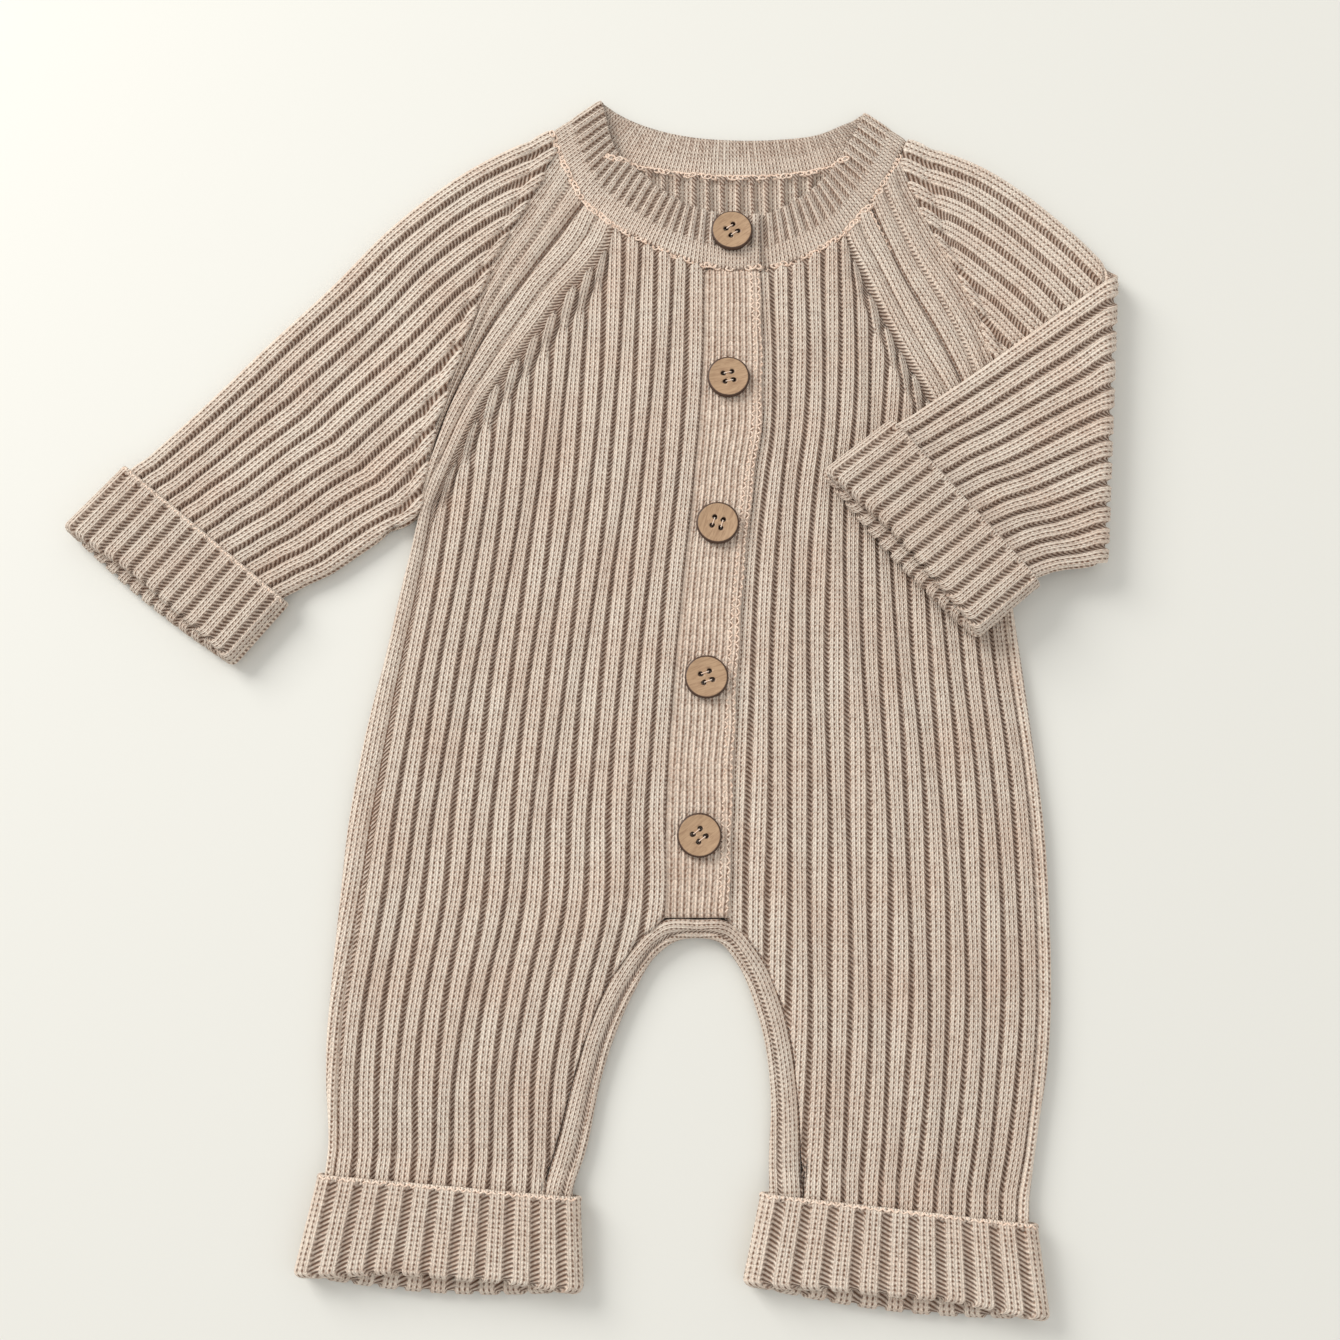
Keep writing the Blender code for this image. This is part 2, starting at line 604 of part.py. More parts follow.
def turnup_ring(corners, share, inward):
    """One ring of a turn-up: share of the way to the fold, moved inwards from its outer surface."""
    a0, b0, a1, b1 = (np.array(corners[k:k + 2]) for k in (0, 2, 4, 6))
    bulge = corners[8]
    half = MID + LAYER
    roll = columns(TURNUP_ROLL, 0, 1)
    flat = np.linspace(0.0, 1.0, TURNUP_SPAN_COLUMNS + 2)[1:-1]
    start = a0 + (a1 - a0) * share
    end = b0 + (b1 - b0) * share
    width = np.linalg.norm(end - start)
    across = (end - start) / width
    along = (a1 + b1 - a0 - b0) / np.linalg.norm(a1 + b1 - a0 - b0)
    inner = width - 2 * roll[-1, 0]
    reach = np.concatenate((roll[:, 0], roll[-1, 0] + inner * flat, width - roll[::-1, 0]))
    rise = np.concatenate((roll[:, 1], np.ones(len(flat)), roll[::-1, 1]))
    reach = np.concatenate((reach, reach[::-1][1:-1]))
    section = np.column_stack((reach, np.concatenate((rise, -rise[::-1][1:-1])) * half))
    section = move_inside(section, -inward, closed=True)
    front = section[:, 1] > 0.0
    belly = np.sin(math.pi * np.clip(section[:, 0] / width, 0.0, 1.0)) * share
    push = np.where(front, 0.0, 1.0) * belly * bulge
    push -= np.where(front, 1.0, 0.0) * belly ** 0.5 * TURNUP_FRONT_SHORT * share
    plan = start + section[:, :1] * across + push[:, None] * along
    return np.column_stack((plan, section[:, 1] + half)), along


def turnup(name, collection, corners, mirrored=False, folded=False):
    """A turned-up hem: the outer tube, the rolled fold and its meeting with the leg or sleeve inside."""
    length = np.linalg.norm(np.array(corners[4:6]) - np.array(corners[:2]))
    thickness = 2 * WALL + CUFF_GAP
    radius = thickness / 2
    rings = []
    for share in (0.0, 0.34, 0.67, 1.0 - radius / length):
        rings.append(turnup_ring(corners, share, 0.0)[0])
    for turn in (0.25, 0.5, 0.75):
        ring, along = turnup_ring(corners, 1.0 - radius / length, radius * (1.0 - math.cos(math.pi * turn)))
        ring[:, :2] += along * radius * math.sin(math.pi * turn)
        rings.append(ring)
    grid = np.array(rings)
    if folded:
        grid[..., 2] = TOP - grid[..., 2]
        grid = fold_elbow(grid)
    points = to_space(grid[..., :2], grid[..., 2])
    return knit_wall(name, collection, [points], closed=True, outside_left=mirrored)


def neckband(collection):
    """The neckband: one strip from the buttonhole end, round the back, to the button end underneath."""
    table = columns(NECKBAND, 0, 1, 2, 3, 4, 5)
    shares = np.array(NECK_BAND_WIDTH_COLUMNS)[None, :, None]
    seam = table[:, :2]
    edge = table[:, 2:4]
    width = np.linalg.norm(edge - seam, axis=1, keepdims=True)
    gap = NECK_GAP + NECK_FOLD_GAP * (1.0 - np.abs(table[:, 4:5]))
    seam = seam + (edge - seam) / width * gap
    plan = seam[:, None] * (1.0 - shares) + edge[:, None] * shares
    x, y = plan[..., 0], plan[..., 1]
    over = table[:, 5][:, None] > 0
    rise = table[:, 4][:, None]
    face = np.where(over, crown_right(x, y), crown_left(x, y))
    height = np.where(rise > 0.0, MID + (face - MID) * rise, MID + MID * rise)
    return knit_wall("neckband", collection, [to_space(plan, height)], outside_left=True)


def band_strip(name, collection, right_x, left_x, y, height):
    """A straight band down the front, from its two long edges."""
    shares = np.linspace(0.0, 1.0, 4)[None, :, None]
    right = np.column_stack((right_x, y))[:, None]
    left = np.column_stack((left_x, y))[:, None]
    plan = right * (1.0 - shares) + left * shares
    return knit_wall(name, collection, [to_space(plan, np.full(plan.shape[:2], height))], outside_left=False)


def plackets(collection):
    """The buttonhole band on top and the button band under it."""
    y, right_x, left_x = columns(PLACKET, 0, 1, 2).T
    y = y.copy()
    y[0] -= SEAM
    y[-1] += SEAM / 2
    band_strip("placket_buttonhole", collection, right_x + SEAM / 2, left_x, y, OVERLAP_TOP)
    inner = columns(LEFT_ROWS, 2, 3)[-7:][::-1]
    under_left = np.interp(y, inner[::-1, 1], inner[::-1, 0]) - SEAM
    band_strip("placket_button", collection, right_x + UNDER_STEP, under_left, y, UNDER_TOP)


def plain_disc(name):
    """A button's blank: a plain disc that stands on z = 0."""
    blank = bmesh.new()
    disc = bmesh.ops.create_cone(
        blank, cap_ends=True, segments=BUTTON_SIDES, depth=BUTTON_HEIGHT * MM,
        radius1=BUTTON_RADIUS * MM, radius2=BUTTON_RADIUS * MM)
    bmesh.ops.translate(blank, verts=disc["verts"], vec=(0.0, 0.0, BUTTON_HEIGHT / 2 * MM))
    mesh = bpy.data.meshes.new(name)
    blank.to_mesh(mesh)
    blank.free()
    return mesh


def hole_cutter(name, collection):
    """Four pins that cut a button's holes."""
    pins = bmesh.new()
    for angle in range(45, 405, 90):
        pin = bmesh.ops.create_cone(
            pins, cap_ends=True, segments=10, depth=4 * BUTTON_HEIGHT * MM,
            radius1=BUTTON_HOLE_RADIUS * MM, radius2=BUTTON_HOLE_RADIUS * MM)
        reach = BUTTON_HOLE_OFFSET * math.sqrt(2.0) * MM
        offset = (reach * math.cos(math.radians(angle)), reach * math.sin(math.radians(angle)), 0.0)
        bmesh.ops.translate(pins, verts=pin["verts"], vec=offset)
    mesh = bpy.data.meshes.new(name)
    pins.to_mesh(mesh)
    pins.free()
    cutter = bpy.data.objects.new(name, mesh)
    cutter.hide_render = True
    cutter.display_type = "WIRE"
    collection.objects.link(cutter)
    return cutter


def buttons(collection, cutters):
    """Five four-hole wooden buttons in a row on the buttonhole band."""
    for number, (x, y) in enumerate(BUTTONS, start=1):
        name = f"button_{number}"
        button = add_object(name, plain_disc(name), collection, WOOD, 0.5)
        spot = ((x + PLAN_SHIFT[0]) * MM, (y + PLAN_SHIFT[1]) * MM, (OVERLAP_TOP + SEAM) * MM)
        cutter = hole_cutter(f"{name}_holes", cutters)
        button.location = spot
        cutter.location = spot
        edge = button.modifiers.new("edge", "BEVEL")
        edge.width = BUTTON_EDGE * MM
        edge.segments = 2
        edge.limit_method = "ANGLE"
        holes = button.modifiers.new("holes", "BOOLEAN")
        holes.operation = "DIFFERENCE"
        holes.solver = "EXACT"
        holes.object = cutter


def main():
    for old in list(bpy.data.objects):
        bpy.data.objects.remove(old, do_unlink=True)
    collection = bpy.data.collections.new("baby_romper")
    cutters = bpy.data.collections.new("cutters")
    bpy.context.scene.collection.children.link(collection)
    bpy.context.scene.collection.children.link(cutters)

    right_neck = columns(NECKBAND[2:NECK_RIGHT_RAGLAN + 1], 0, 1)[::-1]
    left_neck = columns(NECKBAND[NECK_LEFT_RAGLAN:-1], 0, 1)
    front_panel("front_right", collection, RIGHT_ROWS, RAGLAN_RIGHT, right_neck, crown_right, False)
    front_panel("front_left", collection, LEFT_ROWS, RAGLAN_LEFT, left_neck, crown_left, True)
    back_panel(collection)
    gusset(collection)
    sleeve("sleeve_right", collection, False)
    sleeve("sleeve_left", collection, True)
    for name, corners in TURNUPS.items():
        turnup(name, collection, corners, mirrored=name == "turnup_leg_left")
    corners = np.array(TURNUPS["turnup_sleeve_right"])
    corners[:8:2] = 2 * CENTRE_X - corners[:8:2]
    turnup("turnup_sleeve_left", collection, corners, mirrored=True, folded=True)
    neckband(collection)
    plackets(collection)
    buttons(collection, cutters)


main()
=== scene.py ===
import math

import bmesh
import bpy
import numpy as np
from mathutils import Matrix, Vector


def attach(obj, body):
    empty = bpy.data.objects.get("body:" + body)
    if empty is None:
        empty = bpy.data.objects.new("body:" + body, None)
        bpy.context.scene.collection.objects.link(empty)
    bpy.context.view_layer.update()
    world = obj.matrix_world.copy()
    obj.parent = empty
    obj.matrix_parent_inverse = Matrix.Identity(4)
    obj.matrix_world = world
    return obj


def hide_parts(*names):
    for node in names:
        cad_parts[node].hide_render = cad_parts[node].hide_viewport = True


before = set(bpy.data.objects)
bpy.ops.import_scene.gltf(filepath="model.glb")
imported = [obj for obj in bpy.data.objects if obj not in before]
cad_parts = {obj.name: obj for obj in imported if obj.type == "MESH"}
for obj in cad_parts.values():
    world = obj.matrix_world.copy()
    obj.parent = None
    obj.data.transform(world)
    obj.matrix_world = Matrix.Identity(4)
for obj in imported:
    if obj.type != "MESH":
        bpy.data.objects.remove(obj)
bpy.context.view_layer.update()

# Lengths are in millimetres on the garment's plan: +x towards the wearer's left, +y towards the neck.
mm = 0.001
shift = np.array((29.77, -3.42, 0.0))
cloth = {
    "wall": 1.3,          # thickness of the shown knit
    "thinnest": 0.45,     # the same under the lowest relief
    "top": 5.4,           # height of the front
    "mid": 2.7,           # height of the rounded outline
    "rest": 0.75,         # height of the middle of the knit that rests on the surface
    "layer": 2.6,         # height that a turn-up adds on each side
    "overTop": 7.7,       # buttonhole band
    "underTop": 5.1,      # button band, underneath
    "rollIn": 5.2,        # plan width of a rounded edge
    "waleWidth": 1.9,
    "courseHeight": 1.95,
}

placketRows = [  # y, right x, left x
    (-103.0, -1.9, 23.4), (-58.0, -1.2, 25.2), (-10.0, 1.6, 27.4), (34.0, 5.4, 30.4),
    (80.0, 10.4, 35.4), (105.0, 12.4, 38.8), (130.0, 14.2, 39.8), (176.4, 15.4, 39.0),
]
neckRows = [  # seam x, seam y, edge x, edge y, rise, over
    (39.0, 177.0, 40.0, 203.0, 1.0, 1), (27.0, 176.4, 28.0, 203.0, 1.0, 1),
    (15.0, 178.5, 17.0, 204.5, 1.0, 1), (-12.0, 190.5, -1.0, 213.0, 1.0, 1),
    (-27.0, 199.5, -13.0, 223.5, 1.0, 1), (-38.0, 209.5, -21.5, 231.5, 1.0, 1),
    (-45.0, 222.5, -26.0, 240.0, 1.0, 1), (-49.8, 234.5, -28.5, 251.0, 0.97, 1),
    (-52.6, 242.0, -30.5, 258.5, 0.88, 1), (-53.4, 244.6, -31.2, 260.8, 0.0, 1),
    (-52.0, 243.6, -30.0, 259.6, -0.88, 0), (-47.0, 240.0, -26.5, 256.6, -0.97, 0),
    (-36.0, 233.8, -20.0, 252.4, -1.0, 0), (-17.0, 228.5, -8.0, 247.2, -1.0, 0),
    (5.0, 224.4, 9.0, 243.0, -1.0, 0), (27.0, 222.8, 27.0, 241.4, -1.0, 0),
    (50.0, 223.4, 47.0, 241.6, -1.0, 0), (70.0, 227.0, 65.0, 243.8, -1.0, 0),
    (91.0, 234.0, 77.5, 249.0, -1.0, 0), (100.5, 237.4, 83.0, 251.6, -0.97, 0),
    (105.0, 239.6, 86.0, 254.0, -0.88, 0), (106.2, 240.4, 86.8, 254.6, 0.0, 0),
    (105.0, 237.8, 86.0, 252.2, 0.88, 0), (101.8, 231.0, 83.5, 246.0, 0.97, 0),
    (96.5, 221.5, 78.5, 237.0, 1.0, 0), (88.5, 208.5, 72.5, 226.5, 1.0, 0),
    (76.0, 194.0, 64.0, 217.0, 1.0, 0), (59.0, 183.0, 53.0, 209.0, 1.0, 0),
    (47.0, 179.0, 45.0, 205.0, 1.0, 0), (36.0, 177.0, 36.5, 203.4, 1.0, 0),
    (18.0, 177.6, 19.0, 204.0, 1.0, 0),
]
outlineRight = [  # x, y from the hem up to the underarm
    (-139.2, -232.0), (-135.9, -217.0), (-132.8, -200.0), (-132.6, -189.0), (-134.6, -165.0),
    (-135.0, -148.0), (-134.4, -134.0), (-133.6, -118.0), (-132.4, -99.0), (-129.5, -60.0),
    (-124.0, -25.0), (-117.5, 5.0), (-112.0, 34.0), (-108.0, 54.0), (-106.5, 64.0),
]
outlineLeft = [
    (140.5, -247.5), (138.6, -234.0), (137.6, -217.0), (139.6, -204.0), (144.0, -180.0),
    (148.0, -160.0), (150.2, -141.0), (151.4, -120.0), (151.7, -101.0), (151.0, -62.0),
    (148.6, -36.0), (146.2, -10.0), (143.8, 14.0), (141.0, 42.0), (139.0, 66.0),
]
insideSeamRight = [  # x, y from the crotch down
    (-2.3, -103.5), (-14.0, -113.0), (-25.5, -129.5), (-33.0, -146.5), (-38.0, -165.0),
    (-45.5, -194.0), (-48.5, -205.0), (-50.5, -221.5), (-51.5, -236.5),
]
insideSeamLeft = [
    (23.0, -103.5), (35.5, -116.0), (44.5, -136.0), (48.7, -155.0), (50.5, -171.0),
    (51.0, -197.0), (51.2, -208.0), (51.4, -224.0), (51.6, -237.5),
]
insideEdgeRight = [
    (2.5, -111.0), (-5.5, -116.5), (-15.0, -131.5), (-22.5, -148.5), (-27.8, -165.0),
    (-34.0, -194.0), (-38.0, -205.5), (-38.0, -222.0), (-36.8, -237.5),
]
insideEdgeLeft = [
    (20.0, -111.5), (27.0, -119.5), (34.8, -138.0), (38.6, -153.5), (40.2, -171.0),
    (39.2, -197.0), (39.0, -207.5), (37.6, -222.5), (34.0, -236.0),
]
raglanRight = [  # x, y from the underarm up
    (-106.5, 64.0), (-105.4, 76.0), (-103.0, 88.0), (-98.5, 105.0), (-90.0, 127.0),
    (-78.0, 151.0), (-60.0, 178.0), (-38.0, 209.5),
]
raglanLeft = [
    (139.0, 66.0), (137.4, 78.0), (135.5, 89.0), (132.0, 105.0), (125.0, 127.0),
    (115.0, 150.0), (103.0, 173.0), (88.5, 208.5),
]
backRaglanRight = [
    (-106.5, 64.0), (-104.5, 76.0), (-101.0, 88.0), (-95.0, 105.0), (-84.0, 130.0),
    (-69.0, 158.0), (-47.0, 190.0), (-17.0, 228.5),
]
backRaglanLeft = [
    (139.0, 66.0), (136.8, 78.0), (133.8, 89.0), (129.0, 105.0), (121.0, 130.0),
    (109.0, 158.0), (92.0, 190.0), (70.0, 227.0),
]
sleeveUpper = [  # x, y from the cuff up to the neckband
    (-248.5, 63.2), (-239.5, 73.0), (-228.0, 85.5), (-221.5, 92.0), (-197.0, 117.0),
    (-173.0, 143.0), (-148.0, 169.0), (-122.0, 198.0), (-88.0, 226.0), (-53.4, 244.6),
]
sleeveLower = [
    (-178.5, 8.7), (-172.0, 17.0), (-162.5, 29.5), (-155.0, 35.0), (-143.0, 41.0),
    (-131.0, 49.5), (-121.0, 56.5), (-113.0, 61.0), (-109.0, 63.0), (-106.5, 64.0),
]
turnups = {  # the corners of the outline, edge then fold, and how far the fold behind sticks out
    "turnup_leg_right": (-135.8, -200.5, -34.8, -209.0, -144.0, -238.0, -33.0, -244.0, 3.5),
    "turnup_leg_left": (141.0, -219.0, 35.4, -207.5, 144.5, -254.0, 27.5, -241.5, 3.5),
    "turnup_sleeve_right": (-231.0, 87.0, -159.5, 27.5, -255.0, 60.0, -181.0, 1.0, 2.5),
}
elbow = {"radius": 4.25, "start": (189.0, 182.0), "end": (177.0, 50.0), "mirrorX": 26.0}


crownRise = {  # how the fronts rise to the button bands, from the button line outwards
    "right": (-75.0, -13.0),
    "swell": 0.8,
    "swellRise": (13.0, 25.0),
    "swellFall": (40.0, 80.0),
    "tuck": (12.0, 22.0),
    "fade": (-128.0, -104.0),  # heights on the plan between which it dies away at the crotch
}
hemRamp = {"length": 9.0, "lead": 1.5, "betweenLegs": 11.5}


def smooth(value):
    value = np.clip(value, 0.0, 1.0)
    return value * value * (3.0 - 2.0 * value)


def between(value, low, high):
    return smooth((value - low) / (high - low))


def bell(value, centre, width):
    return np.exp(-((value - centre) / width) ** 2)


def hermite(knots, values, where):
    # A smooth curve through values, read at where.
    knots = np.asarray(knots, float)
    values = np.asarray(values, float)
    slopes = np.gradient(values, knots, axis=0)
    where = np.clip(where, knots[0], knots[-1])
    k = np.clip(np.searchsorted(knots, where, side="right") - 1, 0, len(knots) - 2)
    step = knots[k + 1] - knots[k]
    t = (where - knots[k]) / step
    if values.ndim > 1:
        t = t[..., None]
        step = step[..., None]
    a, b, m, n = values[k], values[k + 1], slopes[k], slopes[k + 1]
    return ((2 * t**3 - 3 * t**2 + 1) * a + (t**3 - 2 * t**2 + t) * step * m
            + (3 * t**2 - 2 * t**3) * b + (t**3 - t**2) * step * n)


def lengths(points):
    steps = np.linalg.norm(np.diff(points, axis=0), axis=1)
    return np.concatenate(([0.0], np.cumsum(steps)))


def path(points, count):
    points = np.asarray(points, float)
    along = lengths(points)
    return hermite(along, points, np.linspace(0.0, along[-1], count))


def xAt(points, y):
    # x of a line, given as x, y points, where it passes y.
    rows = np.array(sorted(((p[1], p[0]) for p in points)))
    return hermite(rows[:, 0], rows[:, 1], y)


def buttonLine(y):
    rows = np.array(placketRows)
    return np.interp(y, rows[:, 0], rows[:, 1:].mean(axis=1))


def crownRight(x, y):
    rise = between(x - buttonLine(y), *crownRise["right"]) * between(y, *crownRise["fade"])
    return cloth["top"] + (cloth["overTop"] - cloth["top"]) * rise


def crownLeft(x, y):
    offset = x - buttonLine(y)
    swell = between(offset, *crownRise["swellRise"]) * (1.0 - between(offset, *crownRise["swellFall"]))
    tuck = (cloth["top"] - cloth["underTop"]) * (1.0 - between(offset, *crownRise["tuck"]))
    return cloth["top"] + (crownRise["swell"] * swell - tuck) * between(y, *crownRise["fade"])


def crownOf(x, y, mirror):
    return crownRight(x, y) if mirror > 0 else crownLeft(x, y)


def legLift(x, y):
    # Height that a leg gains where it climbs on to its turn-up.
    edges = []
    for name in ("turnup_leg_right", "turnup_leg_left"):
        ax, ay, bx, by = turnups[name][:4]
        edges.append(ay + (by - ay) * (x - ax) / (bx - ax))
    edge = np.where(x < hemRamp["betweenLegs"], edges[0], edges[1]) + hemRamp["lead"]
    return cloth["layer"] * smooth((edge + hemRamp["length"] - y) / hemRamp["length"])


creases = [  # x, y of the middle, direction in degrees, half length, half width, depth (+ is a ridge)
    (-60.0, 70.0, 62.0, 46.0, 9.0, -0.7),
    (-92.0, 20.0, 78.0, 60.0, 11.0, 0.6),
    (-40.0, -60.0, 84.0, 52.0, 12.0, -0.6),
    (-108.0, -120.0, 96.0, 38.0, 9.0, -0.8),
    (-70.0, -160.0, 70.0, 44.0, 10.0, 0.7),
    (-88.0, -186.0, 20.0, 34.0, 8.0, -0.6),
    (-30.0, 150.0, 118.0, 30.0, 8.0, -0.7),
    (60.0, 120.0, 72.0, 40.0, 9.0, -0.6),
    (72.0, 10.0, 95.0, 62.0, 12.0, 0.7),
    (104.0, -60.0, 84.0, 48.0, 10.0, -0.8),
    (60.0, -100.0, 104.0, 40.0, 9.0, -0.7),
    (92.0, -170.0, 80.0, 40.0, 11.0, 0.7),
    (118.0, -196.0, 150.0, 26.0, 8.0, -0.6),
    (-150.0, 120.0, 48.0, 46.0, 9.0, -0.8),
    (-178.0, 78.0, 42.0, 34.0, 8.0, 0.7),
    (-124.0, 92.0, 58.0, 34.0, 9.0, -0.9),
    (-104.0, 190.0, 40.0, 34.0, 8.0, 0.6),
    (-140.0, 66.0, 20.0, 24.0, 7.0, -0.8),
    (150.0, 190.0, 140.0, 30.0, 8.0, -0.7),
    (170.0, 130.0, 100.0, 40.0, 8.0, -0.7),
    (214.0, 120.0, 140.0, 34.0, 8.0, 0.6),
    (246.0, 86.0, 132.0, 26.0, 7.0, -0.6),
]


def soften(x, y):
    # Height that the listed creases and the cloth's slow swells add.
    total = 0.22 * np.sin(x / 21.0 + 0.8 * np.sin(y / 33.0)) * np.sin(y / 27.0 + 1.3)
    for cx, cy, turn, half, width, depth in creases:
        c, s = math.cos(math.radians(turn)), math.sin(math.radians(turn))
        along = (x - cx) * c + (y - cy) * s
        across = (y - cy) * c - (x - cx) * s + 2.0 * np.sin(along / half * 1.7)
        reach = 1.0 - between(np.abs(along), half * 0.35, half)
        total = total + depth * reach * bell(across, 0.0, width * (1.0 - 0.25 * along / half))
    return total


arcTable = np.linspace(0.0, math.pi / 2, 60)


def rolled(arc, rollIn, half, power):
    # Distance from the outline and share of the half height, from the length measured round the edge.
    d = rollIn * (1.0 - np.sin(arcTable) ** (2.0 / power))[::-1]
    rise = (np.cos(arcTable) ** (2.0 / power))[::-1]
    steps = np.hypot(np.diff(d), np.diff(rise) * half)
    total = np.concatenate(([0.0], np.cumsum(steps)))
    flat = arc - total[-1]
    return (np.where(flat > 0.0, rollIn + flat, np.interp(arc, total, d)),
            np.where(flat > 0.0, 1.0, np.interp(arc, total, rise)), total[-1] - rollIn)


ribPhases = np.array((0.0, 0.06, 0.1, 0.14, 0.19, 0.25, 0.373, 0.5, 0.627, 0.75, 0.81, 0.86, 0.9, 0.94))
coarsePhases = np.array((0.0, 0.08, 0.14, 0.22, 0.5, 0.78, 0.86, 0.92))
ribForm = {"low": -1.1, "high": 0.75, "grooveHalf": 0.06, "flank": 0.125, "waleDip": 0.34, "waleFrom": 0.12}
plainTip = {"fall": (0.0, 1.0, 2.5, 4.5), "half": (0.1, 0.3, 0.45, 0.5), "lift": (-0.2, 0.0, 0.0, 0.0)}
leafTip = {  # a rib's end: rounded, leaf-shaped, then pinched where stitches were taken together
    "fall": (0.0, 0.6, 1.6, 3.0, 6.0, 9.0, 11.0, 12.6, 14.2, 17.0, 22.0),
    "half": (0.1, 0.32, 0.42, 0.48, 0.49, 0.45, 0.38, 0.33, 0.37, 0.46, 0.5),
    "lift": (-0.3, 0.1, 0.4, 0.55, 0.55, 0.25, -0.35, -0.7, -0.45, 0.0, 0.0),
}


def ribColumns(first, last, phases=ribPhases):
    # Column positions, counted in ribs, dense at the grooves.
    ribs = np.arange(math.floor(first), math.ceil(last) + 1)
    values = (ribs[:, None] + phases[None, :]).ravel()
    values = values[(values > first + 0.01) & (values < last - 0.01)]
    return np.concatenate(([first], values, [last]))


def ribShape(s, exponent=0.5):
    # 0 in the groove at whole numbers, 1 on the rib.
    return np.abs(np.sin(math.pi * s)) ** exponent


def waleOf(phase, form=ribForm):
    # Three wales on each rib, with their middles at 1, 2 and 3, and the groove at 0 and 4.
    side = form["waleFrom"]
    return np.interp(phase, (0.0, side, 1.0 - side, 1.0), (0.0, 0.5, 3.5, 4.0))


def ribs3(s, fall, tip=plainTip, share=1.0, form=ribForm):
    # Relief and painted groove shade of three-wale ribs: fall is the distance to their ends, share tip's
    # weight.
    phase = s % 1.0
    half = 0.5 + (np.interp(fall, tip["fall"], tip["half"]) - 0.5) * share
    g = half - np.abs(phase - 0.5)
    rise = smooth((g - form["grooveHalf"]) / form["flank"])
    wales = np.abs(np.sin(math.pi * (waleOf(phase, form) - 0.5))) ** 0.7
    lift = np.interp(fall, tip["fall"], tip["lift"]) * share
    relief = form["low"] + (form["high"] - form["low"] + lift) * rise
    relief = relief + rise * (form["waleDip"] * (wales - 1.0) + 0.1 * np.sin(math.pi * g))
    return relief, np.clip(1.0 - rise * 1.25, 0.0, 1.0)


def segments(t, spans, low, high):
    # Relief across a band: rounded ribs on the spans, and the level low between them.
    height = np.full(t.shape, low)
    for a, b in spans:
        share = np.clip((t - a) / (b - a), 0.0, 1.0)
        height = np.maximum(height, low + (high - low) * np.sin(math.pi * share) ** 0.55)
    return height


def newSheet():
    return {"verts": [], "faces": [], "uv": [], "tone": [], "area": 0.0, "count": 0}


def lowest(values, reach):
    # The least value within reach cells, along both directions.
    for axis in (0, 1):
        padded = np.pad(values, [(reach, reach) if k == axis else (0, 0) for k in (0, 1)], mode="edge")
        length = values.shape[axis]
        values = np.min([np.take(padded, range(k, k + length), axis) for k in range(2 * reach + 1)], axis=0)
    return values


